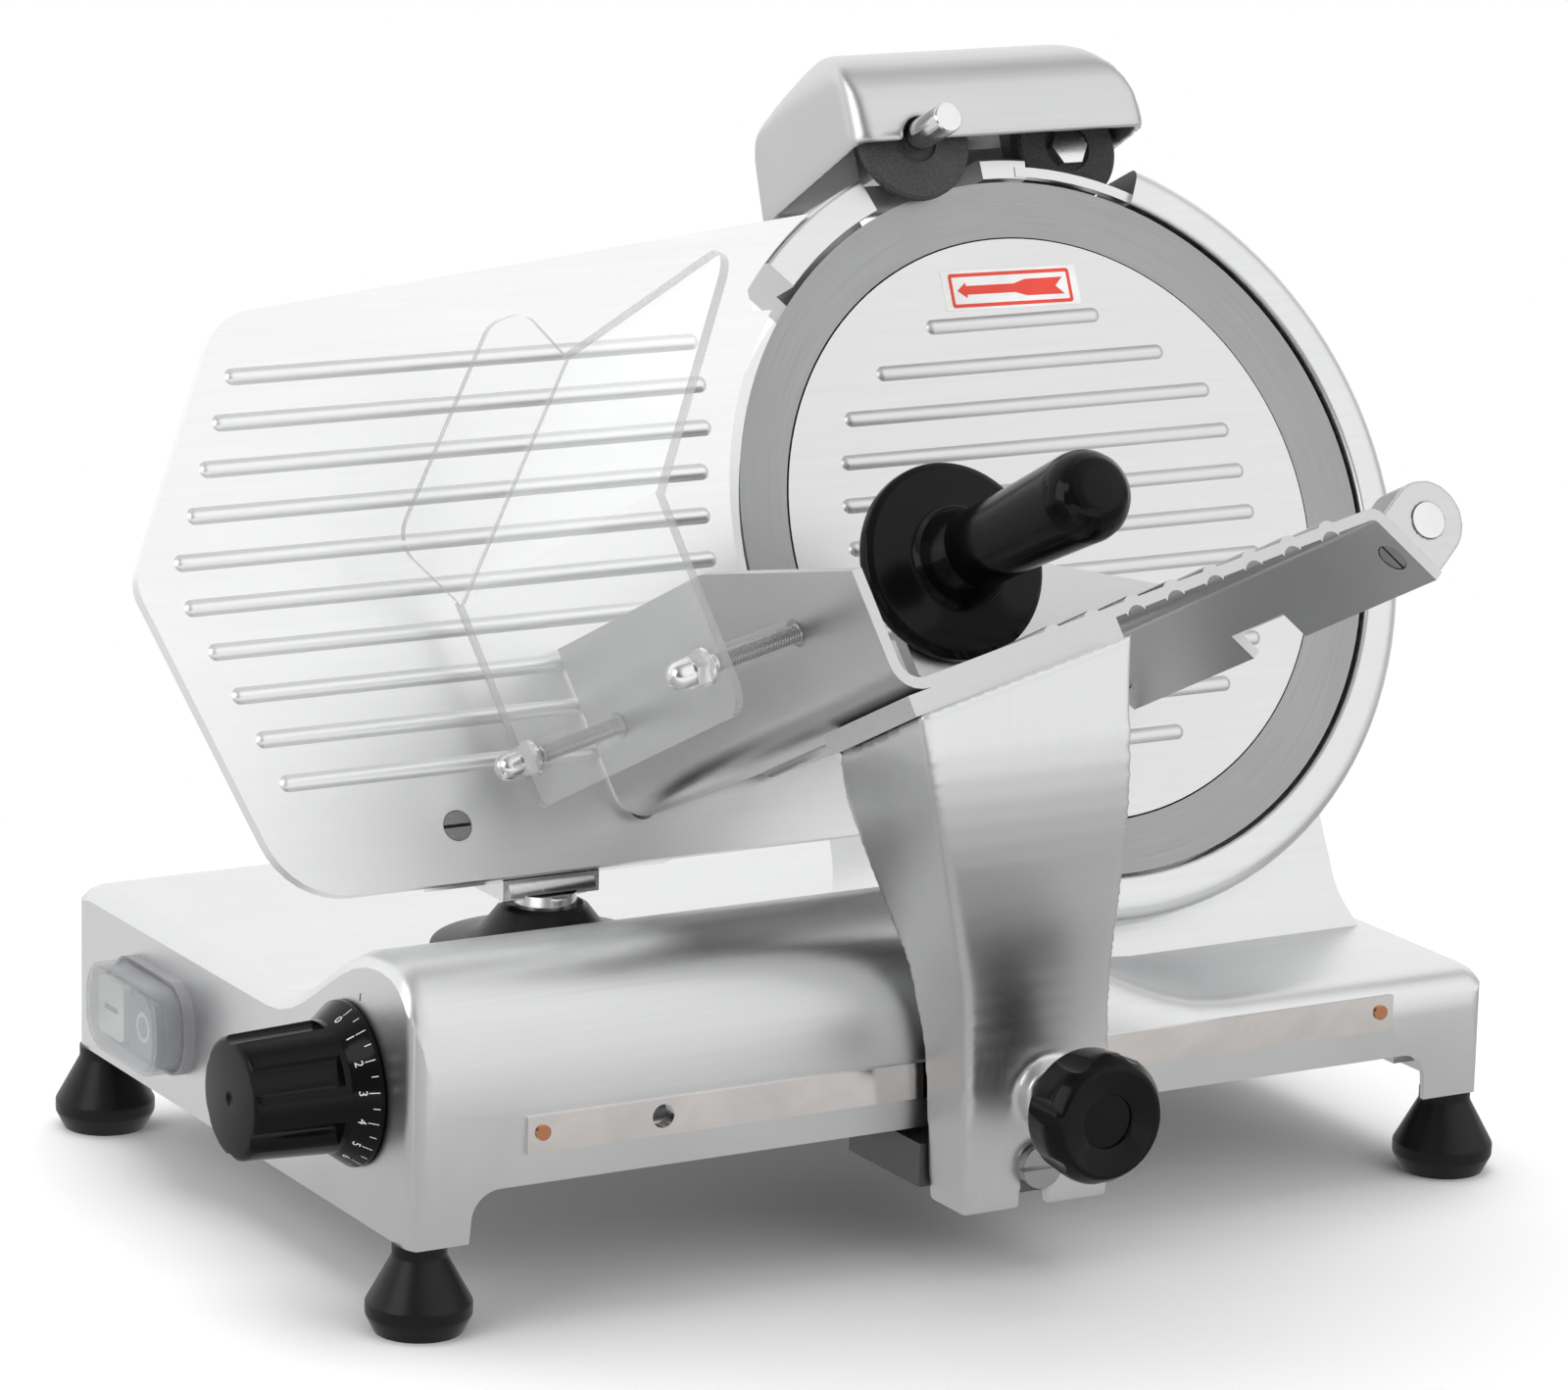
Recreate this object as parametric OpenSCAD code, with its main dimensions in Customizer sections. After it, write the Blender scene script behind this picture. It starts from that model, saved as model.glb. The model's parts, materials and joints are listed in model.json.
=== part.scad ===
// Electric gravity food slicer with a tilted round blade, a sliding food tray and a sharpener.
// Millimetres. Z is up, X runs along the carriage travel, -Y is the side the tray hangs over.

/* [Base] */
// length of the base along the carriage travel
base_l = 418; // [400:1:440]
// depth of the base from front to back
base_d = 268; // [255:1:285]
// height of the flat deck above the floor
deck_h = 89; // [86:0.5:94]
// height of the low apron in front of the blade
apron_h = 75; // [73:0.5:78]
// height of the ridge along the left front
ridge_h = 122; // [118:0.5:128]
// thickness of the cast walls
wall = 5; // [4:0.5:6]
// height of the feet
foot_h = 29.5; // [26:0.5:32]
// widest diameter of a foot
foot_d = 35; // [30:1:40]

/* [Blade] */
// diameter of the blade
blade_d = 250; // [246:1:252]
// lean of the blade away from the tray
blade_tilt = 25; // [23:0.5:27]
// height of the blade's middle above the floor
blade_z = 219; // [216:0.5:226]
// blade's middle from the base's left end
blade_in = 308; // [300:1:312]
// radius of the blade cover
cover_r = 105; // [95:0.5:108]
// outer radius of the guard ring
ring_r = 141; // [136:0.5:142]

/* [Gauge plate] */
// reach of the gauge plate left of the blade's middle
plate_reach = 349; // [330:1:352]
// thickness of the gauge plate
plate_t = 5; // [4:0.5:6]
// widest slice
slice_max = 13; // [10:0.5:15]
// turn of the thickness dial from shut to widest
dial_turn = 300; // [240:5:320]
// spacing of the beads on the plate and the cover
bead_pitch = 15.2; // [14:0.1:16]

/* [Carriage] */
// carriage travel to the left of the drawn place
travel_left = 130; // [100:1:132]
// carriage travel to the right of the drawn place
travel_right = 125; // [100:1:128]
// roll of the tray about the blade's axis
tray_roll = 12.5; // [10:0.5:14]
// width of the tray floor
tray_w = 191; // [180:1:194]
// depth of the tray off the blade
tray_d = 193; // [185:1:200]
// height of the tray wall beside the blade
tray_wall_h = 63; // [58:0.5:66]
// thickness of the tray sheet
sheet_t = 3.7; // [3:0.1:4]
// diameter of the carriage slide rod
rod_d = 18; // [16:0.5:19]
// diameter of the pusher rod
push_rod_d = 12; // [10:0.5:13]

/* [Fits] */
// clearance round a turning or sliding shaft
run = 0.05; // [0.02:0.01:0.09]
// clear air between parts that move past each other
air = 0.6; // [0.4:0.1:0.8]

/* [Hidden] */
$fn = 48;

alu = [0.80, 0.81, 0.82];
steel = [0.66, 0.67, 0.69];
black = [0.06, 0.06, 0.06];
clear = [0.85, 0.92, 0.95];

// the base's faces, from the middle of the near left foot
foot_in_x = 8;
foot_in_y = 12;
x0 = -foot_in_x;
x1 = x0 + base_l;
y0 = -foot_in_y;
y1 = y0 + base_d;
end_r = 7;
foot_xs = [0, base_l - 2 * foot_in_x];
foot_ys = [0, base_d - 2 * foot_in_y + 3];
skirt_h = 47;
leg_w = 21;

// the blade's middle
blade_r = blade_d / 2;
bx = x0 + blade_in;
by = y0 + 116.6;
bz = blade_z;

// the whole machine stands with its box's middle over the origin
knob_out = 43;
column_out = 119;
mid_x = (x0 - knob_out + bx + ring_r) / 2;
gland_out = 12;
mid_y = (y1 + gland_out - column_out) / 2;

// ridge, apron and deck of the base
crest_y = y0 + 26.6;
valley_y = y0 + 110;
ridge_end = x0 + 190;
apron_from = x0 + 312;

// thickness dial and its spiral cam
dial_y = 34.8;
dial_z = 74.2;
dial_r = 27.3;
dial_bore = 5;
cam_r = 27.3;
cam_from = x0 + wall + 0.5;
cam_t = 8;
pin_r = 2.5;
foot_post_r = 7.5;
spiral_r0 = 9;

// gauge post, its block and rod
post_x = bx - 217.6;
post_y = 74;
post_r = 8.25;
block_z = 73;
gauge_rod_r = 6;

// carriage: slide rod, guide bar and arm under the base
col_x = bx - 92.8;
rod_r = rod_d / 2;
rod_y = 30;
rod_z = 50;
bar_y = 74;
bar_z = 52;
bar_s = 12;
bush_t = 2;
arm_l = 90;
roller_r = 8;
roller_z = bar_z - bar_s / 2 - roller_r - air;
lock_z = 65.5;
pivot_z = 39.4;
col_back = y0 - 5;
col_front = y0 - 30;
col_t = 5;

// tray corner in the blade's frame, pusher rod and guard in the tray's frame
tray_u = -192;
tray_v = -88;
tray_n0 = 4;
tray_n1 = tray_n0 + tray_d;
flange_turn = -62;
flange_l = 29;
push_along = 15.3;
push_out = 14.8;
push_f = fold(push_along, push_out).x;
push_w = fold(push_along, push_out).y;
push_r = push_rod_d / 2;
push_n = 56;
grip_f = tray_w - 73;
grip_w = 41.5;
guard_f = -33.5;
guard_t = 3;
guard_lean = 41;
guard_fold = 87;
bolt_at = [[24.5, 31], [152, 32.6]];
pad_t = 7;
sink = 2.3;
lug_r = 13.5;

// sharpener, in the blade's frame
sharp_u0 = -57;
sharp_u1 = 63;
stone_a = [-31, 141];
stone_b = [39, 138];
stone_r = 22;
stone_t = 4.2;
sharp_post = [2, -44];
sharp_post_r = 8;

// drive, in the blade's frame
motor_u = 20;
motor_v = -100;
motor_r = 42;
pulley_r = 36;
housing_r = 54;
cover_pcd_r = 46.8;
motor_pulley_r = 10;
belt_n = -56;
belt_w = 12;
belt_t = 3;
shaft_r = 12.5;
bearing_r = 23.5;
tie_r = 5;

// frames

module place() {
    translate([-mid_x, -mid_y, 0]) children();
}

// x along the travel, y up the blade, z off the blade towards the tray
module blade_at() {
    place() translate([bx, by, bz]) rotate([90 - blade_tilt, 0, 0]) children();
}

// x along the tray floor, y up the tray wall, z off the blade
module tray_at() {
    blade_at() translate([tray_u, tray_v, 0]) rotate([0, 0, tray_roll]) children();
}

// turns a flat shape so that it is drawn in (y, z) and extruded along x
module along_x(from, length) {
    translate([from, 0, 0]) rotate([90, 0, 90]) linear_extrude(length) children();
}

// turns a flat shape so that it is drawn in (x, z) and extruded towards -y
module along_y(from, length) {
    translate([0, from, 0]) rotate([90, 0, 0]) linear_extrude(length) children();
}

// helpers

function unit(v) = v / norm(v);

// arc of radius r that rounds the corner b between a and c
function round_corner(a, b, c, r, steps) =
    r == 0 ? [b] :
    let (
        u = unit(a - b),
        w = unit(c - b),
        half = acos(max(-1, min(1, u * w))) / 2,
        middle = b + unit(u + w) * r / sin(half),
        p = b + u * r / tan(half),
        q = b + w * r / tan(half),
        start = atan2(p.y - middle.y, p.x - middle.x),
        stop = atan2(q.y - middle.y, q.x - middle.x),
        sweep = (stop - start + 540) % 360 - 180
    )
    [for (i = [0 : steps]) middle + r * [cos(start + sweep * i / steps), sin(start + sweep * i / steps)]];

// outline through [x, y] or [x, y, radius] corners
function rounded(pts, steps = 8) =
    let (n = len(pts))
    [for (i = [0 : n - 1])
        let (a = pts[(i + n - 1) % n], b = pts[i], c = pts[(i + 1) % n])
        each round_corner([a.x, a.y], [b.x, b.y], [c.x, c.y], len(b) < 3 ? 0 : b.z, steps)];

function smooth(t) = let (s = max(0, min(1, t))) s * s * (3 - 2 * s);

// rounded rectangle about the origin
module plate2d(w, h, r) {
    square([w - 2 * r, h], center = true);
    square([w, h - 2 * r], center = true);
    for (x = [-1, 1], y = [-1, 1])
        translate([x * (w / 2 - r), y * (h / 2 - r)]) circle(r);
}

// revolves an outline given as [radius, height, corner radius]
module lathe(pts, steps = 8) {
    rotate_extrude() polygon(rounded(pts, steps));
}

module cylinder_x(r, h) {
    rotate([0, 90, 0]) cylinder(r = r, h = h);
}

module cylinder_y(r, h) {
    rotate([-90, 0, 0]) cylinder(r = r, h = h);
}

// straight bead with round ends, standing h off the plane
module bead(a, b, y, r, h) {
    translate([a, y, h - r]) cylinder_x(r = r, h = b - a);
    for (x = [a, b]) translate([x, y, h - r]) sphere(r);
}

// slotted cheese head, head outwards along z
module slot_head(r, h) {
    difference() {
        cylinder(r = r, h = h);
        translate([-r - 1, -r * 0.11, h * 0.5]) cube([2 * r + 2, r * 0.22, h]);
    }
}

module screw(head_r, head_h, shank_r, shank_l) {
    slot_head(head_r, head_h);
    translate([0, 0, -shank_l]) cylinder(r = shank_r, h = shank_l);
}

// base

// one section of the base at ridge strength k, from the front foot round to the back foot
function base_section(k) =
    let (
        top = apron_h + k * (ridge_h - apron_h),
        spring = skirt_h + 14 + k * 13,
        reach = 14 + k * (crest_y - y0 - 14),
        power = 2 / 2.7
    )
    concat(
        [[y0 + 2.5, foot_h]],
        [for (i = [0 : 8])
            let (t = 90 * i / 8)
            [y0 + reach - reach * pow(cos(t), power), spring + (top - spring) * pow(sin(t), power)]],
        [for (i = [1 : 9])
            let (
                y = y0 + reach + (valley_y - y0 - reach) * i / 9,
                high = deck_h + (ridge_h - deck_h) * (1 + cos(180 * i / 9)) / 2,
                low = apron_h + (deck_h - apron_h) * smooth((y - valley_y + 32) / 32)
            )
            [y, low + k * (high - low)]],
        [for (i = [0 : 6])
            let (t = 90 * i / 6)
            [y1 - 14 + 14 * sin(t), deck_h - 12 + 12 * cos(t)]],
        [[y1, foot_h]]
    );

// drop of the top edge where the base rounds off towards its ends
function end_drop(x) =
    let (d = max(0, end_r - max(0, min(x - x0, x1 - x))))
    end_r - sqrt(end_r * end_r - d * d);

function ridge_strength(x) = 1 - smooth((x - ridge_end) / (apron_from - ridge_end));

module base_skin() {
    steps = [-1, 0.4, 1.4, 3.2, end_r];
    stations = concat(
        [for (d = steps) x0 + d],
        [for (i = [0 : 9]) ridge_end + (apron_from - ridge_end) * i / 9],
        [for (i = [4 : -1 : 0]) x1 - steps[i]]
    );
    sections = [for (x = stations) [for (p = base_section(ridge_strength(x)))
        [x, p.x, p.y > foot_h ? p.y - end_drop(x) : p.y]]];
    n = len(sections[0]);
    last = len(stations) - 1;
    polyhedron(
        points = [for (s = sections) each s],
        faces = concat(
            [[for (i = [n - 1 : -1 : 0]) i]],
            [[for (i = [0 : n - 1]) last * n + i]],
            [for (s = [0 : last - 1], i = [0 : n - 1])
                let (j = (i + 1) % n)
                each [[s * n + i, s * n + j, (s + 1) * n + i],
                    [(s + 1) * n + i, s * n + j, (s + 1) * n + j]]]
        )
    );
}

module base_plan(grow, low, high) {
    translate([(x0 + x1) / 2, (y0 + y1) / 2, low])
        linear_extrude(high - low) plate2d(base_l + 2 * grow, base_d + 2 * grow + 1, 9 + grow);
}

// sector of the guard ring: a floor behind the blade with a lip round its edge
module ring_sector(r_lip, r_out, top, a0, a1, soft) {
    rotate([0, 0, a0]) rotate_extrude(angle = a1 - a0)
        polygon(rounded([[104, -27], [r_out, -27], [r_out, top, soft], [r_lip, top, min(soft / 3, 1.5)],
            [r_lip, -13.6], [104, -13.6]]));
}

// outline round the two pulleys, grown by g
module belt_shape(g) {
    reach = norm([motor_u, motor_v]);
    lean = acos((pulley_r - motor_pulley_r) / reach);
    swing = atan2(motor_v, motor_u);
    polygon(concat(
        [for (i = [0 : 10]) let (a = swing - lean + 2 * lean * i / 10)
            [motor_u, motor_v] + (motor_pulley_r + g) * [cos(a), sin(a)]],
        [for (i = [0 : 30]) let (a = swing + lean + (360 - 2 * lean) * i / 30)
            (pulley_r + g) * [cos(a), sin(a)]]
    ));
}

// the neck's outline, flaring into the deck, from its left edge to its right edge
module neck_shape(left, right) {
    polygon(rounded([[left, 0, 0], [left - 8, -112, 40], [left - 66, -166, 0], [left - 66, -185, 0],
        [right - 6, -185, 0], [right + 3.4, -165, 0], [right - 8, -138, 30], [right - 10, -50, 20],
        [right - 64, 0, 0]]));
}

module tower() {
    gap = blade_r + 1.3;
    blade_at() {
        // dish behind the blade and the raised ring round it, open for the tray and the stones
        translate([0, 0, -28]) cylinder(r = 119, h = 15);
        ring_sector(gap, ring_r, 2.5, -120, 64, 6);
        ring_sector(gap, gap + 7.5, 0, 83, 91, 1);
        ring_sector(gap + 0.5, blade_r + 14.4, 0, 112, 133, 2);
        rotate([0, 0, 60]) rotate_extrude(angle = 25) translate([gap + 0.7, -2.6]) square([3.6, 3]);
        // pulley housing, neck and motor hood
        translate([0, 0, -76]) cylinder(r = housing_r, h = 50);
        translate([0, 0, -74]) linear_extrude(52) neck_shape(-66, 104);
        translate([0, 0, -30]) linear_extrude(15) intersection() {
            neck_shape(-60, 102);
            translate([-30, -200]) square([160, 95]);
        }
        translate([motor_u, motor_v, -148]) cylinder(r = 50, h = 80);
        // boss of the sharpener post
        translate([sharp_post.x - 15, 40, -61]) cube([30, 76, 35]);
    }
}

// hollows of the tower, drawn in the blade's frame
module tower_hollow() {
    blade_at() {
        translate([0, 0, -19.6]) cylinder(r = 42, h = 10);
        translate([0, 0, -47]) cylinder(r = bearing_r, h = 40);
        translate([0, 0, -70]) linear_extrude(24) belt_shape(8);
        translate([0, 0, -80]) cylinder(r = pulley_r + 7, h = 20);
        translate([motor_u, motor_v, -145]) cylinder(r = motor_r + 3, h = 69);
        translate([motor_u, motor_v, -80]) cylinder(r = 8, h = 20);
        translate([sharp_post.x, 57, sharp_post.y]) cylinder_y(r = sharp_post_r + run, h = 80);
        translate([sharp_post.x, 88, -70]) cylinder(r = 4 + run, h = 26);
        for (a = [45 : 90 : 315]) rotate([0, 0, a])
            translate([cover_pcd_r, 0, -80]) cylinder(r = 1.6, h = 14);
    }
}

// hollow of the base below the apron, the deck and the ridge, round its posts
module base_hollow() {
    difference() {
        union() {
            base_plan(-wall, -1, apron_h - wall);
            intersection() {
                base_plan(-wall, apron_h - wall - 1, deck_h - wall);
                translate([x0, valley_y + 6, 0]) cube([base_l, base_d, 200]);
            }
            along_x(x0 + wall, ridge_end - x0 - 2 * wall) ridge_hollow();
        }
        place_feet() cylinder(r = foot_post_r, h = 200);
        plate_screws() translate([0, 0, plate_z + plate_th]) cylinder(r = 5, h = 200);
        gauge_webs();
    }
}

// the ridge's section, pulled in by the wall
module ridge_hollow() {
    low = apron_h - wall - 1;
    polygon(concat(
        [[y0 + wall, low]],
        [for (p = base_section(1)) if (p.x < valley_y && p.y > apron_h)
            [max(p.x + wall * 0.4, y0 + wall), p.y - wall * 1.35]],
        [[valley_y + 8, deck_h - wall], [valley_y + 8, low]]
    ));
}

// webs that carry the gauge rod
module gauge_webs() {
    for (y = [46, valley_y + 18]) translate([post_x - 12, y, block_z - 10]) cube([24, 6, 60]);
}

module place_feet() {
    for (x = foot_xs, y = foot_ys) translate([x, y, 0]) children();
}

switch_y = 184;
switch_z = 58;

module base_housing() {
    color(alu) difference() {
        union() {
            place() intersection() {
                base_skin();
                base_plan(0, foot_h, ridge_h + 5);
            }
            tower();
        }
        tower_hollow();
        place() {
            base_hollow();
            // open front between the legs
            along_y(y0 + wall + 1, wall + 6) polygon(rounded([[x0 + leg_w - 2, -1],
                [x0 + leg_w + 1, skirt_h, 10], [x1 - leg_w - 4, skirt_h, 10], [x1 - leg_w - 1, -1]]));
            // dial shaft, switch, gauge post and cable entry
            translate([x0 - 1, dial_y, dial_z]) cylinder_x(r = dial_bore + run, h = wall + 2);
            along_x(x0 - 1, wall + 2) translate([switch_y, switch_z]) square([50, 24], center = true);
            translate([post_x - 11, post_y - 11, 80]) cube([22, slice_max + 22, 60]);
            translate([x1 - 60, y1 + 1, 52]) rotate([90, 0, 0]) cylinder(r = 8, h = wall + 3);
            translate([post_x, 44, block_z]) cylinder_y(r = gauge_rod_r, h = 90);
            place_feet() translate([0, 0, foot_h - 1]) cylinder(r = 4, h = 30);
            plate_screws() translate([0, 0, plate_z]) cylinder(r = 2, h = 15);
            // pocket of the wear strip, its oil hole and rivet holes
            strip_slab(5);
            translate([strip_x0 + 49.5, y0 + 10, strip_z + 0.4]) rotate([90, 0, 0]) cylinder(r = 4, h = 20);
            rivet_places() translate([0, 4, 0]) rotate([90, 0, 0]) cylinder(r = 2, h = 6);
        }
    }
}

plate_z = foot_h + 1.5;
plate_th = 1.5;
plate_y = 94;

module bottom_plate() {
    color(steel) place() difference() {
        translate([x0 + wall + 12, plate_y, plate_z])
            cube([base_l - 2 * wall - 24, y1 - wall - 1 - plate_y, plate_th]);
        plate_screws() translate([0, 0, 20]) cylinder(r = 2, h = 30);
    }
}

module plate_screws() {
    for (x = [x0 + 34, x1 - 34], y = [106, y1 - 18]) translate([x, y, 0]) children();
}

// screws of the bottom plate and of the rear cover
module cover_screws() {
    color(steel) {
        place() plate_screws() translate([0, 0, plate_z]) rotate([180, 0, 0]) screw(4, 2, 2, 12);
        blade_at() for (a = [45 : 90 : 315]) rotate([0, 0, a])
            translate([cover_pcd_r, 0, -79.5]) rotate([180, 0, 0]) screw(3, 1.8, 1.6, 13);
    }
}

module feet() {
    color(black) place() place_feet() difference() {
        lathe([[0, 0, 0], [foot_d / 2 - 3, 0, 0], [foot_d / 2, 6, 2.5],
            [foot_d / 2, 10, 1.5], [9, foot_h - 4, 3], [9, foot_h, 0], [0, foot_h, 0]], 4);
        translate([0, 0, -1]) cylinder(r = 7, h = 9);
        cylinder(r = 4, h = 60);
    }
}

module foot_screws() {
    color(steel) place() place_feet() {
        translate([0, 0, 3]) cylinder(r = 6.5, h = 5);
        translate([0, 0, 8]) cylinder(r = 4, h = foot_h + 18);
    }
}

// polished strip that the column runs along, with its rivets
strip_x0 = x0 + 40;
strip_x1 = x0 + 377;
strip_z = 64;
strip_h = 12.4;
strip_t = 2;

module wear_strip() {
    color(steel) place() difference() {
        strip_slab(0);
        translate([strip_x0 + 49.5, y0 + 10, strip_z + 0.4]) rotate([90, 0, 0]) cylinder(r = 4, h = 20);
        rivet_places() translate([0, 3, 0]) rotate([90, 0, 0]) cylinder(r = 2, h = 6);
    }
}

// the strip's slab, sunk into the front wall
module strip_slab(out) {
    translate([strip_x0, y0 - 0.8 - out, strip_z - strip_h / 2])
        cube([strip_x1 - strip_x0, strip_t + out, strip_h]);
}

module rivet_places() {
    for (x = [strip_x0 + 5.4, strip_x1 - 5.4]) translate([x, y0, strip_z + 0.7]) children();
}

module strip_rivets() {
    color([0.72, 0.45, 0.30]) place() rivet_places() rotate([90, 0, 0]) {
        translate([0, 0, -4]) cylinder(r = 2, h = 5);
        translate([0, 0, 0.8]) cylinder(r = 2.6, h = 0.8);
    }
}

module cable_gland() {
    color(black) place() translate([x1 - 60, y1, 52]) rotate([-90, 0, 0]) {
        difference() {
            union() {
                translate([0, 0, -wall - 3]) cylinder(r = 7.8, h = wall + 4);
                lathe([[0, 0, 0], [13, 0, 0], [13, 5, 2], [8, gland_out, 2], [0, gland_out, 0]], 4);
            }
            translate([0, 0, -20]) cylinder(r = 4, h = 50);
        }
    }
}

// switch

module switch_body() {
    color([0.35, 0.35, 0.36]) place() difference() {
        union() {
            along_x(x0 - 4, 4) translate([switch_y, switch_z]) plate2d(60, 33, 13);
            along_x(x0 - 9, 6) translate([switch_y, switch_z]) plate2d(54, 27, 11);
            along_x(x0 - 1, 26) translate([switch_y, switch_z]) square([49.4, 23.4], center = true);
        }
        for (y = [-13, 13])
            along_x(x0 - 10, 22) translate([switch_y + y, switch_z]) plate2d(22, 21, 3);
    }
}

module switch_cap2d(y) {
    translate([switch_y + y, switch_z]) plate2d(21, 20, 3);
}

module on_button() {
    color([0.93, 0.93, 0.93]) place() difference() {
        along_x(x0 - 12, 14) switch_cap2d(13);
        along_x(x0 - 12.6, 1) translate([switch_y + 13, switch_z]) square([11, 2], center = true);
    }
}

module off_button() {
    color([0.55, 0.55, 0.56]) place() difference() {
        along_x(x0 - 12, 14) switch_cap2d(-13);
        along_x(x0 - 12.6, 1) translate([switch_y - 13, switch_z]) difference() {
            circle(5.5);
            circle(3.7);
        }
    }
}

module switch_cover() {
    color(clear) place() difference() {
        union() {
            along_x(x0 - 14, 10) translate([switch_y, switch_z]) plate2d(58.4, 31.4, 12.4);
            along_x(x0 - 15, 2) translate([switch_y, switch_z]) plate2d(55, 28, 11);
        }
        along_x(x0 - 13.4, 20) translate([switch_y, switch_z]) plate2d(55.6, 28.6, 11);
    }
}

// thickness dial

module dial_knob() {
    color(black) place() translate([x0 - 1, dial_y, dial_z]) rotate([0, -90, 0]) difference() {
        lathe([[0, 0], [dial_r, 0], [dial_r, 1.2, 0.3], [dial_r - 5.5, 8.8, 0.8],
            [dial_r - 6.9, knob_out - 1, 2.5], [0, knob_out - 1]], 4);
        for (a = [0 : 60 : 300]) rotate([0, 0, a])
            translate([dial_r - 0.1, 0, 11]) rotate([0, -1.8, 0]) cylinder(r = 8, h = 40);
        translate([0, 0, knob_out + 2]) sphere(4);
        translate([0, 0, -1]) cylinder(r = dial_bore, h = 30);
    }
}

// shaft with the spiral cam that shifts the gauge
module dial_shaft() {
    lead = -20;
    span = dial_turn - lead + 9;
    steps = 48;
    color(steel) place() translate([0, dial_y, dial_z]) rotate([90, 0, 90]) {
        translate([0, 0, x0 - 29]) cylinder(r = dial_bore, h = cam_from - x0 + 30);
        difference() {
            translate([0, 0, cam_from]) cylinder(r = cam_r, h = cam_t);
            translate([0, 0, cam_from + 3]) linear_extrude(cam_t) polygon(concat(
                [for (i = [0 : steps]) spiral(lead + span * i / steps, pin_r + air / 2)],
                [for (i = [steps : -1 : 0]) spiral(lead + span * i / steps, -pin_r - air / 2)]
            ));
        }
    }
}

function spiral(t, off) = (spiral_r0 + slice_max * t / dial_turn + off) * [cos(t), sin(t)];

// gauge

module gauge_rod() {
    color(steel) place() translate([post_x, 45, block_z]) cylinder_y(r = gauge_rod_r, h = 85);
}

// block on the gauge rod with the arm and the pin that follow the cam
module gauge_slide() {
    pin_y = dial_y + spiral_r0;
    arm_x = cam_from + cam_t + 1;
    color(steel) place() difference() {
        union() {
            translate([post_x - 13, post_y - 14, block_z - 9]) cube([26, 26, 18]);
            translate([arm_x, post_y - 14, dial_z - 5]) cube([post_x - 13 - arm_x, 8, 10]);
            translate([arm_x, pin_y - 5, dial_z - 5]) cube([10, post_y - 7 - pin_y, 10]);
            translate([cam_from + 3.5, pin_y, dial_z]) cylinder_x(r = pin_r, h = cam_t);
        }
        translate([post_x, 0, block_z]) cylinder_y(r = gauge_rod_r + run, h = 200);
    }
}

bracket_u = post_x - bx;

// post through the deck with the bracket that carries the plate
module gauge_post() {
    color(steel) difference() {
        union() {
            place() translate([post_x, post_y, block_z + 9]) cylinder(r = post_r, h = 36);
            place() translate([post_x, post_y, block_z + 42]) cylinder(r = 11, h = 4);
            place() translate([post_x - 18, post_y - 5, block_z + 45]) cube([36, 20, 7]);
            blade_at() translate([bracket_u - 45, -100, -plate_t - 7]) cube([90, 40, 7]);
            blade_at() translate([bracket_u - 16, -106, -plate_t - 12]) cube([32, 26, 9]);
        }
        blade_at() translate([-400, -200, -plate_t]) cube([800, 400, 100]);
        gauge_screw_places() translate([0, 0, -30]) cylinder(r = 3, h = 40);
    }
}

module gauge_screw_places() {
    blade_at() for (u = [-34.5, 34.5]) translate([bracket_u + u, -81, 0]) children();
}

// rubber boot on the post, gliding on the ridge's back slope
module gauge_seal() {
    boot_z = block_z + 27;
    color(black) difference() {
        place() translate([post_x, post_y, boot_z]) lathe([[0, -22, 0], [38, -22, 0], [38, 1, 1.5],
            [22, 5, 6], [15, 14, 2], [13, 15, 1], [0, 15, 0]], 4);
        place() translate([post_x, post_y, 0]) cylinder(r = post_r, h = 200);
        place() for (y = [0 : slice_max / 2 : slice_max]) translate([0, -y, air / 2])
            along_x(post_x - 60, 120) polygon(base_section(1));
    }
}

// plate outline in the blade's plane, with its cut round the blade and the ring
module gauge_outline() {
    difference() {
        polygon(rounded([[-plate_reach - 2, 9.5, 14], [-plate_reach + 44, 97, 22], [-60, 119.6, 0],
            [-60, -100, 0], [-plate_reach + 34, -100, 30]]));
        circle(blade_r + 4);
        intersection() {
            circle(blade_r + 15);
            translate([-105, 85]) square(200);
        }
    }
}

module gauge_plate() {
    color(alu) difference() {
        blade_at() union() {
            translate([0, 0, -plate_t]) linear_extrude(plate_t) gauge_outline();
            for (i = [-4 : 5]) {
                v = i * bead_pitch;
                slope = v > 9.5 ? 0.49 : -0.37;
                left = -plate_reach + 13 + (v - 9.5) * slope;
                right = min(-131, -sqrt(pow(blade_r + 15, 2) - v * v));
                bead(left, right, v, 3.2, 1.8);
            }
        }
        gauge_screw_places() translate([0, 0, -30]) cylinder(r = 3, h = 40);
        gauge_screw_places() translate([0, 0, -2.5]) cylinder(r = 5.2, h = 10);
    }
}

module gauge_screws() {
    color(steel) gauge_screw_places() translate([0, 0, -2.5]) screw(5, 2.4, 3, 12);
}

// blade and its drive

module bearings() {
    color(steel) blade_at() for (n = [-32, -46]) translate([0, 0, n]) difference() {
        cylinder(r = bearing_r, h = 11.5);
        translate([0, 0, -1]) cylinder(r = shaft_r + run, h = 20);
        translate([0, 0, 10.5]) ring2(15.5, 20.5, 5);
        translate([0, 0, -4]) ring2(15.5, 20.5, 5);
    }
}

module ring2(a, b, h) {
    difference() {
        cylinder(r = b, h = h);
        translate([0, 0, -1]) cylinder(r = a, h = h + 2);
    }
}

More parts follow.
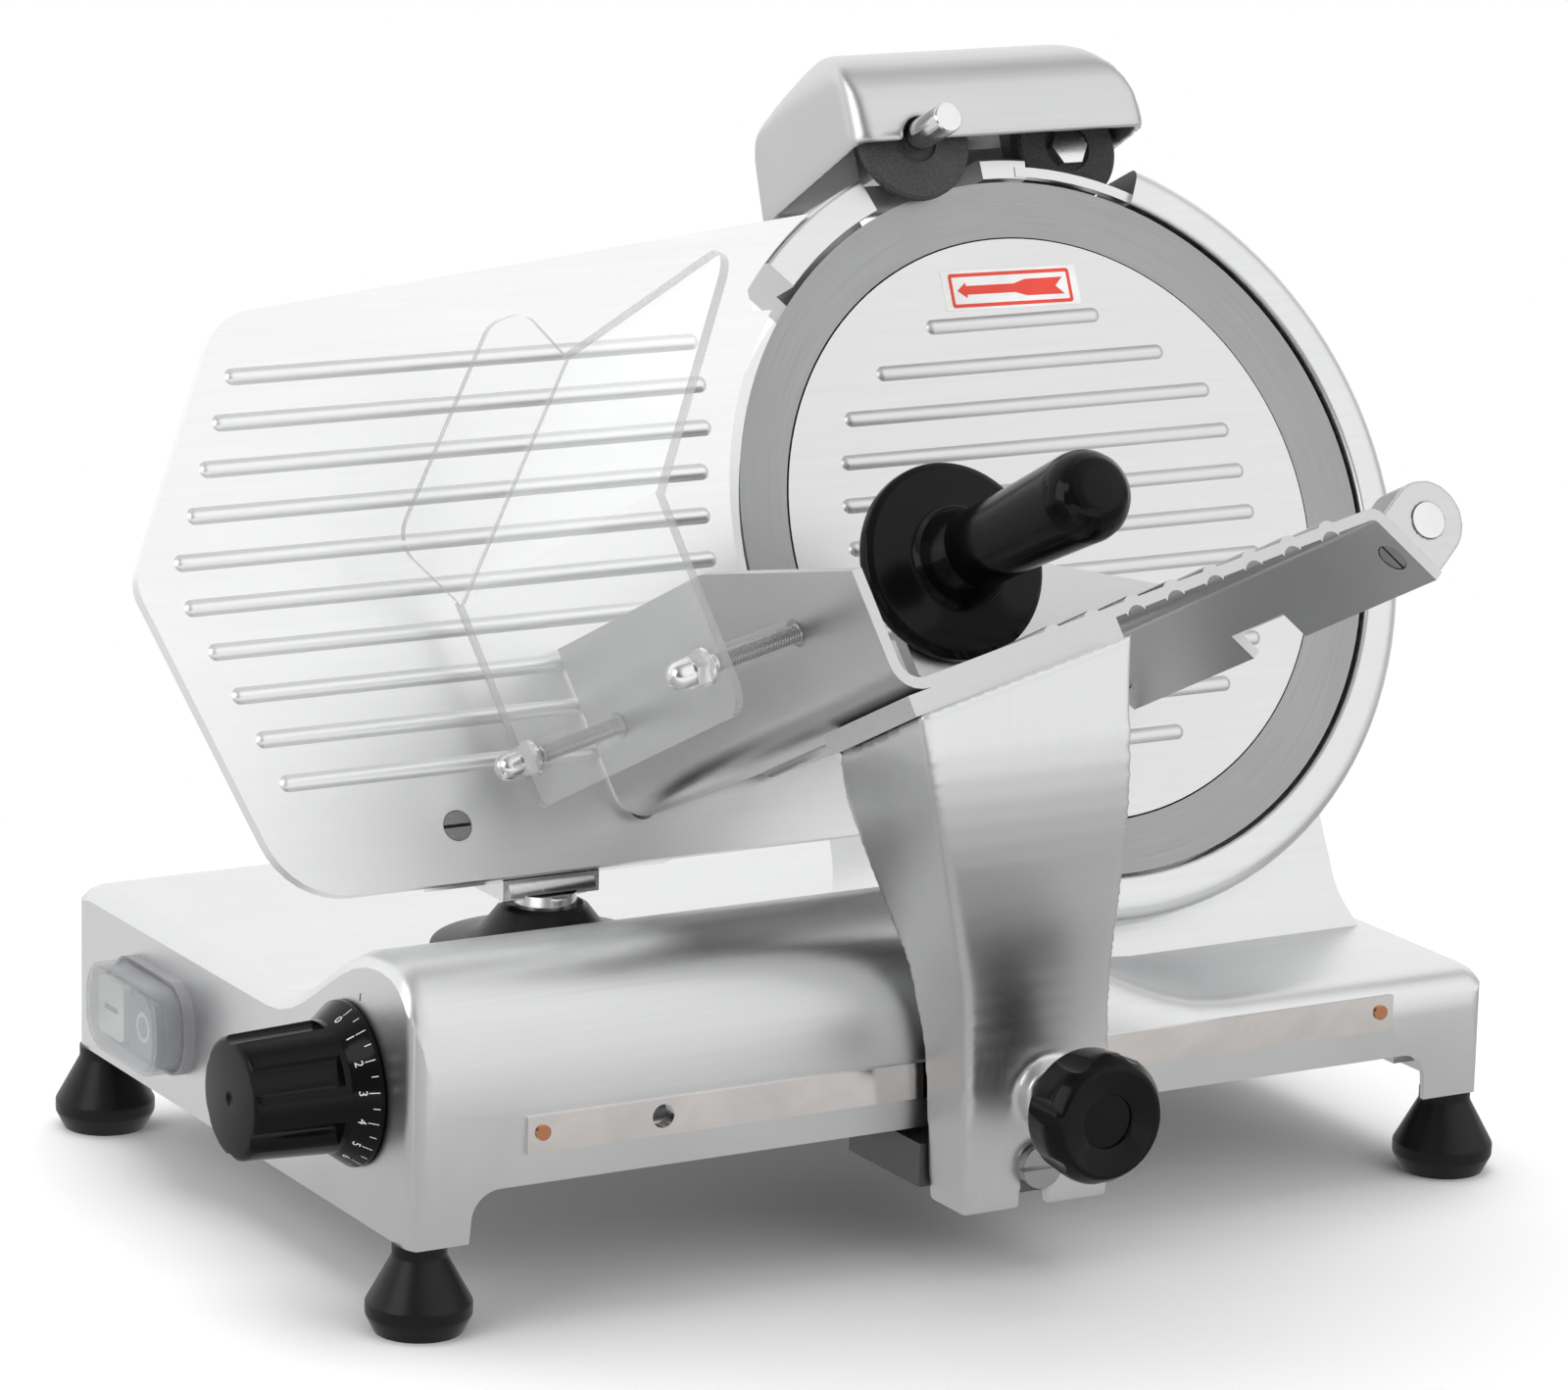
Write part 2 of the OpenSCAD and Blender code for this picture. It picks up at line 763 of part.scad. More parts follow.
// hollow-ground ring round a dished middle
module blade() {
    lip = cover_r + 0.6;
    grind = min(9, 0.45 * (blade_r - lip));
    color(steel) blade_at() difference() {
        rotate_extrude($fn = 96) polygon([[20, -8], [lip - 1, -8], [lip, -7], [lip, -2.9],
            [blade_r - grind, -1.6], [blade_r, 0], [blade_r, -0.5], [blade_r - grind * 2 / 3, -4.6],
            [lip - 6, -11], [20, -11]]);
        blade_screw_places() cylinder(r = 2.6, h = 60, center = true);
    }
}

module blade_screw_places() {
    for (a = [30 : 60 : 330]) rotate([0, 0, a]) translate([30, 0, 0]) children();
}

module blade_hub() {
    color(steel) blade_at() difference() {
        union() {
            translate([0, 0, -19]) cylinder(r = 40, h = 8);
            translate([0, 0, -67]) cylinder(r = shaft_r, h = 50);
        }
        translate([0, 0, -14.5]) cylinder(r = 13, h = 10);
        translate([0, 0, -80]) cylinder(r = tie_r + 0.5, h = 90);
        blade_screw_places() translate([0, 0, -18]) cylinder(r = 2.5, h = 20);
    }
}

module blade_screws() {
    color(steel) blade_at() blade_screw_places() translate([0, 0, -8]) screw(4.6, 1.5, 2.5, 9);
}

// ribbed belt pulley with a webbed body
module blade_pulley() {
    color(alu) blade_at() translate([0, 0, belt_n]) difference() {
        union() {
            translate([0, 0, -7]) cylinder(r = pulley_r - 1.2, h = 14);
            for (i = [-2 : 2]) translate([0, 0, i * 2.4]) cylinder(r = pulley_r, h = 1.4, center = true);
            for (n = [-8, 6.5]) translate([0, 0, n]) cylinder(r = pulley_r + 3, h = 1.5);
        }
        cylinder(r = shaft_r, h = 60, center = true);
        for (n = [-9, 3]) translate([0, 0, n]) ring2(18, pulley_r - 5, 6);
        for (a = [0 : 60 : 300]) rotate([0, 0, a]) translate([24.5, 0, 0])
            cylinder(r = 4, h = 40, center = true);
    }
}

module motor_pulley() {
    color(steel) blade_at() translate([motor_u, motor_v, belt_n]) {
        difference() {
            union() {
                cylinder(r = motor_pulley_r - 1.2, h = 14, center = true);
                for (i = [-2 : 2]) translate([0, 0, i * 2.4])
                    cylinder(r = motor_pulley_r, h = 1.4, center = true);
            }
            cylinder(r = 5, h = 60, center = true);
        }
        translate([0, 0, -24]) cylinder(r = 5, h = 30);
    }
}

module drive_belt() {
    color(black) blade_at() translate([0, 0, belt_n - belt_w / 2]) difference() {
        linear_extrude(belt_w) belt_shape(air + belt_t);
        translate([0, 0, -1]) linear_extrude(belt_w + 2) belt_shape(air);
    }
}

// finned motor body on the wall behind the belt
module motor() {
    color([0.30, 0.31, 0.33]) blade_at() translate([motor_u, motor_v, 0]) difference() {
        union() {
            translate([0, 0, -132]) cylinder(r = motor_r - 5, h = 56);
            for (n = [-132, -88]) translate([0, 0, n]) cylinder(r = motor_r, h = 12);
            for (n = [-116 : 6 : -92]) translate([0, 0, n]) cylinder(r = motor_r - 1, h = 3);
        }
        translate([0, 0, -82]) cylinder(r = 5 + air, h = 10);
    }
}

// can of the run capacitor in its saddle on the bottom plate
module capacitor() {
    low = plate_z + plate_th;
    color([0.85, 0.85, 0.82]) place() {
        translate([x0 + 150, 205, low + 18]) rotate([0, 90, 0]) {
            cylinder(r = 16, h = 70);
            translate([0, 0, 70]) cylinder(r = 12, h = 5);
        }
        translate([x0 + 160, 192, low]) cube([50, 26, 12]);
    }
}

module rear_cover() {
    rim = housing_r - 3.5;
    color(alu) blade_at() translate([0, 0, -79.5]) difference() {
        lathe([[0, -6, 0], [rim - 20, -6, 8], [rim - 12, 0, 5], [rim, 0, 1], [rim, 3.5, 0], [0, 3.5, 0]], 5);
        translate([0, 0, -1.5]) cylinder(r = rim - 18, h = 10);
        translate([0, 0, -10]) cylinder(r = 7, h = 20);
        for (a = [45 : 90 : 315]) rotate([0, 0, a]) translate([cover_pcd_r, 0, -5]) cylinder(r = 1.6, h = 20);
    }
}

// stationary cover in the blade's middle, beaded like the gauge plate
module blade_cover() {
    face = -2.6;
    color(alu) blade_at() difference() {
        union() {
            difference() {
                union() {
                    translate([0, 0, face - 3]) cylinder(r = cover_r, h = 3, $fn = 96);
                    for (i = [-5 : 5]) {
                        short = abs(i) == 5 ? 25 : abs(i) == 4 ? 12 : 3;
                        half = 0.8 * sqrt(pow(cover_r, 2) - pow(i * bead_pitch, 2)) - short;
                        translate([0, 0, face]) bead(-half, half, i * bead_pitch - 1, 3.2, 1.5);
                    }
                }
                translate([0, 0, face - 13]) cylinder(r = cover_r - 5, h = 10);
            }
            translate([0, 0, -13.5]) cylinder(r = 12, h = 10);
        }
        translate([0, 0, -20]) cylinder(r = tie_r + run, h = 16);
    }
}

module tie_rod() {
    color(steel) blade_at() translate([0, 0, -98]) cylinder(r = tie_r, h = 93.5);
}

module tie_knob() {
    color(black) blade_at() translate([0, 0, -86.5]) rotate([180, 0, 0]) difference() {
        lathe([[0, 0, 0], [11, 0, 0], [11, 5, 0], [20, 6, 2], [19, 22, 4], [0, 22, 0]], 4);
        for (a = [0 : 45 : 315]) rotate([0, 0, a]) translate([22.5, 0, 4]) cylinder(r = 5, h = 30);
        translate([0, 0, -1]) cylinder(r = tie_r, h = 13);
    }
}

// sharpener

// side outline of the cap, off the blade and up it, pulled in by g
module cap_side(g) {
    polygon(rounded([[13 - g, 139 - 8 * sign(g), 0], [11 - g, 184 - g, max(2, 24 - g * 4 / 3)],
        [-62 + g, 164 - g, max(2, 14 - g)], [-66 + g, 131 - 8 * sign(g), 0]]));
}

module cap_front(g) {
    polygon(rounded([[sharp_u0 + g, 100], [sharp_u1 - g, 100], [sharp_u1 - g, 184 - g, 45 - g],
        [sharp_u0 + g, 184 - g, 20 - g]]));
}

// the cap seen along the blade, with its round front edges
module cap_plan(g) {
    polygon(rounded([[sharp_u0 - 0.5 + g, -80], [sharp_u1 + 0.5 - g, -80],
        [sharp_u1 + 0.5 - g, 14 - g, 8 - g], [sharp_u0 - 0.5 + g, 14 - g, 11 - g]]));
}

module cap_block(g) {
    intersection() {
        translate([sharp_u0 - 5, 0, 0]) rotate([90, 0, 90]) mirror([1, 0, 0]) rotate([0, 0, 90]) cap_lay(g);
        translate([0, 0, -100]) linear_extrude(160) cap_front(g);
        translate([0, 220, 0]) rotate([90, 0, 0]) linear_extrude(160) cap_plan(g);
    }
}

// lays the side outline so that it runs along the travel
module cap_lay(g) {
    linear_extrude(sharp_u1 - sharp_u0 + 10) cap_side(g);
}

module sharpener_cap() {
    color(alu) blade_at() difference() {
        union() {
            difference() {
                cap_block(0);
                cap_block(3);
            }
            intersection() {
                cap_block(1);
                for (u = [-20, 24]) translate([u, 158, -34]) cylinder_y(r = 6, h = 30);
            }
        }
        translate([stone_a.x, stone_a.y, -4]) cylinder(r = 5.5 + air, h = 40);
        translate([stone_b.x, stone_b.y, -90]) cylinder(r = 5.5 + air, h = 50);
    }
}

// bracket and post inside the cap
module sharpener_body() {
    color(steel) blade_at() difference() {
        union() {
            translate([-48, 152, -54]) cube([100, 6, 38]);
            translate([stone_a.x - 11, 131, -17]) cube([22, 27, 12]);
            translate([stone_b.x - 11, 128, -32]) cube([22, 28, 13]);
            translate([sharp_post.x, 62, sharp_post.y]) cylinder_y(r = sharp_post_r, h = 92);
        }
        translate([stone_a.x, stone_a.y, -60]) cylinder(r = 4 + run, h = 80);
        translate([stone_b.x, stone_b.y, -60]) cylinder(r = 4 + run, h = 80);
    }
}

module sharpener_lock() {
    color(black) blade_at() translate([sharp_post.x, 88, 0]) {
        translate([0, 0, sharp_post.y - sharp_post_r - 14]) cylinder(r = 4, h = 13.6);
        translate([0, 0, -62]) rotate([180, 0, 0]) difference() {
            lathe([[0, 0, 0], [8, 0, 0], [14, 5, 2], [14, 16, 3], [0, 16, 0]], 4);
            for (a = [0 : 60 : 300]) rotate([0, 0, a]) translate([16.5, 0, 2]) cylinder(r = 4, h = 30);
        }
    }
}

// coarse wheel with a dished back
module stone(r, t) {
    difference() {
        rotate_extrude() polygon([[4, 0], [r - 1, 0], [r, 1], [r, t - 1], [r - 1, t], [4, t]]);
        translate([0, 0, t - 1.6]) cylinder(r = r * 0.4, h = 5);
    }
}

module front_stone() {
    color([0.22, 0.21, 0.20]) blade_at() translate([stone_a.x, stone_a.y, 2.6]) stone(stone_r, stone_t);
}

module front_pin() {
    color(steel) blade_at() translate([stone_a.x, stone_a.y, 0]) {
        translate([0, 0, -26]) cylinder(r = 4, h = 34);
        translate([0, 0, 1 + stone_t]) lathe([[0, 0, 0], [5.5, 0, 0], [5.5, 26.8, 1.2], [0, 26.8, 0]], 3);
        translate([0, 0, -24]) cylinder(r = 6, h = 3);
    }
}

module rear_stone() {
    color([0.22, 0.21, 0.20]) blade_at() translate([stone_b.x, stone_b.y, -13]) difference() {
        stone(stone_r - 2, 7);
        translate([0, 0, 5.2]) cylinder(r = 9, h = 5);
    }
}

module rear_pin() {
    color(steel) blade_at() translate([stone_b.x, stone_b.y, 0]) {
        translate([0, 0, -40]) cylinder(r = 4, h = 36);
        translate([0, 0, -7.8]) cylinder(r = 7.4, h = 3.6, $fn = 6);
        translate([0, 0, -84]) lathe([[0, 0, 0], [5.5, 0, 1.2], [5.5, 46, 0], [0, 46, 0]], 3);
    }
}

// carriage under the base

module slide_rod() {
    color(steel) place() translate([x0 + wall + 11, rod_y, rod_z]) rotate([0, 90, 0])
        cylinder(r = rod_r, h = base_l - 2 * wall - 13);
}

module guide_bar() {
    color(steel) place() translate([x0 + wall + 11, bar_y - bar_s / 2, bar_z - bar_s / 2])
        cube([base_l - 2 * wall - 13, bar_s, bar_s]);
}

module rod_supports() {
    color(alu) place() difference() {
        for (x = [x0 + wall + 11, x1 - wall - 14]) translate([x, y0 + wall, 35]) cube([12, 100, 31]);
        translate([x0, rod_y, rod_z]) cylinder_x(r = rod_r, h = base_l);
        translate([x0, bar_y - bar_s / 2, bar_z - bar_s / 2]) cube([base_l, bar_s, bar_s]);
        translate([x0, y0, 0]) cube([base_l, 28, skirt_h + 1]);
        place_feet() cylinder(r = foot_post_r, h = 200);
    }
}

// bearing tube on the slide rod with the arms to the column and to the guide roller
module carriage_arm() {
    r = rod_r + bush_t + 4;
    color(alu) place() difference() {
        union() {
            translate([col_x - arm_l / 2, rod_y, rod_z]) cylinder_x(r = r, h = arm_l);
            translate([col_x - 30, col_back + 1, 28]) cube([60, rod_y - col_back - 1, 15]);
            along_x(col_x - 17, 34) polygon([[col_face(28) + col_t, 28], [col_face(72) + col_t, 72],
                [col_back + 2, 72], [col_back + 2, 28]]);
            translate([col_x - 11, rod_y, 33]) cube([22, bar_y - bar_s / 2 - 2 - rod_y, 10]);
            translate([col_x, rod_y, roller_z]) cylinder_y(r = 4, h = 54);
        }
        translate([0, rod_y, rod_z]) cylinder_x(r = rod_r + bush_t, h = 800);
        translate([col_x, 0, lock_z]) rotate([90, 0, 0]) cylinder(r = 5 + run, h = 200);
        translate([col_x, 0, pivot_z]) rotate([90, 0, 0]) cylinder(r = 4, h = 60);
    }
}

module slide_bushes() {
    color([0.72, 0.58, 0.30]) place() for (x = [col_x - arm_l / 2, col_x + arm_l / 2 - 28])
        translate([x, rod_y, rod_z]) rotate([0, 90, 0]) difference() {
            cylinder(r = rod_r + bush_t, h = 28);
            translate([0, 0, -1]) cylinder(r = rod_r + run, h = 40);
        }
}

module guide_roller() {
    color(black) place() translate([col_x, bar_y - bar_s / 2 + 0.5, roller_z])
        rotate([-90, 0, 0]) difference() {
            cylinder(r = roller_r, h = bar_s - 1);
            translate([0, 0, -1]) cylinder(r = 4 + run, h = 30);
        }
}

// column

function bez(a, b, c, t) = (1 - t) * (1 - t) * a + 2 * t * (1 - t) * b + t * t * c;

// the column's front face at a height, as far as the knee
function col_face(z) = col_front + 2 - 5 * (z - 24) / 48;

// side view of the column (y, z)
module column_side() {
    polygon(concat(
        [[col_back, 24], [col_face(24), 24]],
        [for (i = [0 : 6]) bez([col_face(72), 72], [col_front - 5, 92], [col_front - 24, 117], i / 6)],
        [for (i = [0 : 6]) bez([col_front - 58, 162], [-column_out + 1, 186], [-column_out + 2, 214], i / 6)],
        [[-column_out + 2, 300], [col_back - 44, 300]],
        [for (i = [0 : 6]) bez([col_back - 44, 205], [col_back - 23, 165], [col_back, 94], i / 6)]
    ));
}

// front view of the column (x, z), pulled in by g on both sides
module column_front(g) {
    polygon(concat(
        [[col_x + 30 - g, 20]],
        [for (i = [0 : 6]) bez([col_x + 26.5 - g, 64], [col_x + 24.5 - g, 84], [col_x + 15 - g, 109], i / 6)],
        [for (i = [0 : 6]) bez([col_x - 9 - g, 167], [col_x - 17.5 - g, 188], [col_x - 19.2 - g, 221],
            i / 6)],
        [[col_x - 19.5 - g, 300], [col_x - 98 + g, 300]],
        [for (i = [0 : 6]) bez([col_x - 96 + g, 220], [col_x - 90 + g, 188], [col_x - 76 + g, 165], i / 6)],
        [for (i = [0 : 6]) bez([col_x - 45 + g, 115], [col_x - 31.5 + g, 94], [col_x - 30 + g, 66], i / 6)],
        [[col_x - 27 + g, 20]]
    ));
}

module column_block(g) {
    intersection() {
        along_x(col_x - 150, 300) column_side();
        along_y(20, 200) column_front(g);
    }
}

module column() {
    color(alu) difference() {
        intersection() {
            place() union() {
                difference() {
                    column_block(0);
                    translate([0, col_t, 0]) column_block(6);
                }
                translate([col_x, col_front + 1, lock_z]) rotate([90, 0, 0]) cylinder(r = 11, h = 11);
            }
            tray_at() translate([-100, -400 - pad_t, 0]) cube([400, 400, 260]);
        }
        place() {
            translate([col_x, 0, lock_z]) rotate([90, 0, 0]) cylinder(r = 5 + run, h = 200);
            translate([col_x, 0, pivot_z]) rotate([90, 0, 0]) cylinder(r = 4, h = 200);
            translate([col_x, col_face(pivot_z) + 1.2, pivot_z]) rotate([90, 0, 0]) cylinder(r = 8, h = 60);
            translate([col_x - 5, -100, 0]) cube([10, 200, pivot_z - 1]);
        }
    }
}

module pivot_screw() {
    color(steel) place() translate([col_x, col_face(pivot_z) + 1.2, pivot_z]) rotate([90, 0, 0])
        screw(7.5, 5, 4, 16);
}

// lobed clamp knob on its stud
module lock_knob() {
    color(black) place() translate([col_x, col_front - 10.6, lock_z]) rotate([90, 0, 0]) {
        translate([0, 0, -28]) cylinder(r = 5, h = 40);
        difference() {
            lathe([[0, 0], [9, 0, 1], [9, 9, 3], [21, 14, 4], [22.3, 28, 6], [18.5, 33.5, 2], [9, 31, 1],
                [9, 30], [0, 30]], 5);
            for (i = [0 : 6]) rotate([0, 0, i * 360 / 7 + 13])
                translate([28.5, 0, 8]) cylinder(r = 8, h = 40);
        }
    }
}

// tray

// point along the folded edge and out from it
function fold(along, out) =
    [tray_w, 0] + along * [cos(flange_turn), sin(flange_turn)] + out * [-sin(flange_turn), cos(flange_turn)];

// bent sheet: wall, floor and the folded right edge, drawn in (floor, wall)
module tray_sheet() {
    polygon(rounded([[0, tray_wall_h, 0], [0, 0, 11], [tray_w, 0, 3],
        concat(fold(flange_l, 0), 0), concat(fold(flange_l, sheet_t), 0),
        [tray_w - sheet_t * tan(flange_turn / 2), sheet_t, 6], [sheet_t, sheet_t, 7.3],
        [sheet_t, tray_wall_h, 0]], 6));
}

module tray() {
    color(alu) tray_at() difference() {
        union() {
            translate([0, 0, tray_n0]) linear_extrude(tray_d) tray_sheet();
            // pad on the column, pressed beads along the floor
            translate([2, -pad_t, 140]) cube([82, pad_t, tray_n1 - 140]);
            for (f = [60 : 16 : tray_w - 18]) translate([f, sheet_t - 2.6, tray_n0])
                cylinder(r = 4, h = tray_d);
        }
        // the wall's top falls away from the blade to the front
        translate([-5, 0, 0]) rotate([0, 90, 0]) linear_extrude(20)
            polygon([[-tray_n1 - 5, tray_wall_h - 22], [-112, tray_wall_h - 0.5], [-104, tray_wall_h + 1],
                [-104, tray_wall_h + 20], [-tray_n1 - 5, tray_wall_h + 20]]);
        // notch in the folded edge, holes for the guard bolts and the block screws
        translate([tray_w, 0, 0]) rotate([0, 0, flange_turn]) translate([18, -12, 84]) cube([40, 30, 33]);
        guard_bolt_places() translate([-20, 0, 0]) cylinder_x(r = 3, h = 50);
        block_screw_places() {
            translate([0, -20, 0]) cylinder_y(r = 2.5, h = 40);
            translate([0, -1, 0]) cylinder_y(r = 5.3, h = 1 + sink);
        }
        underside_beads();
    }
}

// grooves under the beads of the floor
module underside_beads() {
    for (f = [92 : 16 : tray_w - 18]) translate([f, -2.2, tray_n0 - 1]) cylinder(r = 3.6, h = tray_d + 2);
}

module guard_bolt_places() {
    for (b = bolt_at) translate([0, b.y, b.x]) children();
}

// y runs out through the folded edge of the tray
module block_screw_places() {
    for (n = [tray_n0 + 8, tray_n1 - 9]) translate([tray_w, 0, n]) rotate([0, 0, flange_turn])
        translate([push_along, 0, 0]) children();
}

// lugs that hold the pusher rod, with their screws
module rod_blocks() {
    color(alu) tray_at() for (n = [tray_n0 + 1, tray_n1 - 17]) difference() {
        translate([tray_w, 0, n]) rotate([0, 0, flange_turn]) linear_extrude(16) intersection() {
            union() {
                translate([push_along, push_out]) circle(lug_r);
                translate([push_along - lug_r, 0]) square([2 * lug_r, push_out]);
            }
            translate([0, sheet_t]) square(60);
        }
        block_screw_places() cylinder_y(r = 2.5, h = push_out - push_r - 1);
        translate([push_f, push_w, 0]) cylinder(r = push_r, h = 500, center = true);
    }
}

module block_screws() {
    color(steel) tray_at() block_screw_places() translate([0, sink, 0]) rotate([90, 0, 0])
        screw(5, 2, 2.5, push_out - push_r - 1.5 - sink);
}

module pusher_rod() {
    color(steel) tray_at() translate([push_f, push_w, tray_n0 + 1]) cylinder(r = push_r, h = tray_d - 1.5);
}

module pusher_sleeve() {
    color(steel) tray_at() translate([push_f, push_w, push_n + 8.4]) difference() {
        cylinder(r = push_r + 3.5, h = 46);
        translate([0, 0, -1]) cylinder(r = push_r + run, h = 60);
    }
}

// toothed plate on its arm, hung on the pusher rod
module pusher_plate() {
    color(alu) tray_at() difference() {
        union() {
            translate([0, 0, push_n]) linear_extrude(6) polygon(rounded([[grip_f - 26, 8, 3],
                [tray_w + 3, 8, 2], [push_f - 7, push_w + 2, 1], [push_f + 2, push_w + 8],
                [push_f - 1, push_w + 9], [grip_f + 34, 32, 10], [grip_f + 28, 66, 8], [grip_f - 14, 66, 8],
                [grip_f - 26, 50, 5]]));
            translate([push_f, push_w, push_n]) cylinder(r = push_r + 3.5, h = 8);
            for (f = [-20 : 10 : 20], w = [14 : 10 : 54])
                translate([grip_f + f, w, push_n]) rotate([180, 0, 0]) rotate_extrude($fn = 24)
                polygon([[0, -1], [3, -1], [3, 0], [0.4, 6], [0, 6]]);
        }
        translate([push_f, push_w, 0]) cylinder(r = push_r + run, h = 500);
        translate([grip_f, grip_w, 0]) cylinder(r = 4, h = 500);
    }
}

// handle with its round hand guard
module pusher_handle() {
    color(black) tray_at() translate([grip_f, grip_w, push_n + 6]) {
        translate([0, 0, -6]) cylinder(r = 4, h = 10);
        lathe([[0, 0], [33, 0, 1], [34, 2.5, 1.2], [34, 6, 1.5], [31.5, 7.5, 1], [18, 9.5, 2], [16.5, 12, 2],
            [13.5, 24, 10], [14, 50, 40], [15.5, 92, 20], [15.5, 105, 12], [0, 105]], 5);
    }
}

// clear guard

// rotation that lays local x on d and local y on e
function lay(d, e) =
    let (m = cross(d, e))
    [atan2(e.z, m.z), -asin(d.z), atan2(d.y, d.x)];

fold_dir = [sin(guard_lean), cos(guard_lean), 0];
wing_from = [guard_f, guard_fold, 14];
wing_to = wing_from + fold_dir * 84 + [0, 0, 30];
wing_along = unit(wing_to - wing_from);
wing_out = let (s = [-cos(tray_roll), sin(tray_roll), 0]) unit(s - wing_along * (s * wing_along));

module clear_guard() {
    color(clear) tray_at() difference() {
        union() {
            // panel along the tray wall, panel leaning over the food, wing along the gauge plate
            translate([guard_f - guard_t / 2, 0, 0]) rotate([0, 90, 0]) linear_extrude(guard_t)
                polygon(rounded([[-14, 14.6, 5], [-14, guard_fold + 1, 0], [-163, guard_fold + 1, 0],
                    [-163, 14.6, 10]]));
            translate([guard_f, guard_fold, 0]) rotate([0, 0, -guard_lean]) translate([-guard_t / 2, -0.5, 0])
                rotate([0, 90, 0]) linear_extrude(guard_t)
                polygon(rounded([[-14, 0, 0], [-44, 84.5, 0], [-163, 91, 14], [-163, 0, 0]]));
            translate(wing_from) rotate(lay(wing_along, wing_out)) translate([0, -1, -guard_t / 2])
                linear_extrude(guard_t)
                polygon(rounded([[0, 0, 0], [89, 0, 0], [97, 22, 9], [88, 32, 9], [10, 32, 12]]));
        }
        guard_bolt_places() translate([-60, 0, 0]) cylinder_x(r = 3, h = 100);
    }
}

module guard_spacers() {
    spacer = -guard_f - guard_t / 2;
    color(clear) tray_at() guard_bolt_places() translate([-spacer, 0, 0]) rotate([0, 90, 0]) difference() {
        cylinder(r = 4.8, h = spacer);
        translate([0, 0, -1]) cylinder(r = 3.1, h = spacer + 2);
    }
}

// studs with washers, hexagons and domed ends
module guard_bolts() {
    outer = -guard_f + guard_t / 2;
    color(steel) tray_at() guard_bolt_places() rotate([0, -90, 0]) {
        translate([0, 0, -sheet_t]) cylinder(r = 3, h = sheet_t + 0.5);
        translate([0, 0, 0.2]) cylinder(r = 2.6, h = outer - guard_t - 0.4);
        translate([0, 0, outer - guard_t - 0.5]) cylinder(r = 3, h = guard_t + 5.5);
        translate([0, 0, -sheet_t - 2.5]) cylinder(r = 5.5, h = 2.5);
        translate([0, 0, outer]) difference() {
            cylinder(r = 6.2, h = 1.2);
            translate([0, 0, -1]) cylinder(r = 3, h = 5);
        }
        translate([0, 0, outer + 1.2]) cylinder(r = 5.8, h = 5, $fn = 6);
        translate([0, 0, outer + 6.2]) lathe([[0, 0, 0], [4.6, 0, 0], [4.6, 7, 4], [0, 8, 0]], 5);
    }
}

base_housing();
bottom_plate();
cover_screws();
feet();
foot_screws();
wear_strip();
strip_rivets();
cable_gland();
switch_body();
switch_cover();
on_button();
off_button();
dial_knob();
dial_shaft();
gauge_rod();
gauge_slide();
gauge_post();
gauge_seal();
gauge_plate();
gauge_screws();
bearings();
blade();
blade_hub();
blade_screws();
blade_pulley();
motor_pulley();
drive_belt();
motor();
capacitor();
rear_cover();
blade_cover();
tie_rod();
tie_knob();
sharpener_cap();
sharpener_body();
sharpener_lock();
front_stone();
front_pin();
rear_stone();
rear_pin();
slide_rod();
guide_bar();
rod_supports();
carriage_arm();
slide_bushes();
guide_roller();
column();
pivot_screw();
lock_knob();
tray();
rod_blocks();
block_screws();
pusher_rod();
pusher_sleeve();
pusher_plate();
pusher_handle();
clear_guard();
guard_spacers();
guard_bolts();
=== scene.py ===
"""Looks of the food slicer: finishes on its solids, its printed marks and a plain studio."""

import json
import math

import bpy
import numpy as np
from bpy.props import FloatProperty, FloatVectorProperty, PointerProperty
from mathutils import Matrix


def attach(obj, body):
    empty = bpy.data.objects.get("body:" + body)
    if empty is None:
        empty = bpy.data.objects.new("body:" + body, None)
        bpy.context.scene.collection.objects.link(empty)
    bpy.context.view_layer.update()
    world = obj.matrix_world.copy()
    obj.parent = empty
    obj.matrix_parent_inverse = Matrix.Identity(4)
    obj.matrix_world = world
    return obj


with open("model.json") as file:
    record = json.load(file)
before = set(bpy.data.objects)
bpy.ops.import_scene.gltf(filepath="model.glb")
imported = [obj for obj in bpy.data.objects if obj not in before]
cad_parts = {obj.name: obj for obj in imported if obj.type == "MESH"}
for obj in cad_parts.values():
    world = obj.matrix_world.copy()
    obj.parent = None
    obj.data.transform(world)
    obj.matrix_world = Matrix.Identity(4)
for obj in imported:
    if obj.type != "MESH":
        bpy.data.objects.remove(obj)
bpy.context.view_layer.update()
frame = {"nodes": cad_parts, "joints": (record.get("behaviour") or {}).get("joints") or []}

bl_info = {
    "name": "Food slicer finish",
    "version": (1, 0, 0),
    "blender": (4, 5, 0),
    "location": "View3D > Sidebar > Slicer",
    "description": "Finishes, marks and studio of an electric food slicer",
    "category": "Object",
}

NODES = frame["nodes"]
JOINTS = {joint["name"]: joint for joint in frame["joints"]}

# the blade's frame: u along the travel, v up the blade, n off it towards the tray
BLADE_MIDDLE = np.array(JOINTS["blade_spin"]["pos_m"])
BLADE_U = np.array([1.0, 0.0, 0.0])
BLADE_N = np.array(JOINTS["blade_spin"]["axis"])
BLADE_V = np.cross(BLADE_N, BLADE_U)
BLADE_AXES = np.stack([BLADE_U, BLADE_V, BLADE_N])
BLADE_TURN = (math.atan2(BLADE_V[2], BLADE_V[1]), 0.0, 0.0)

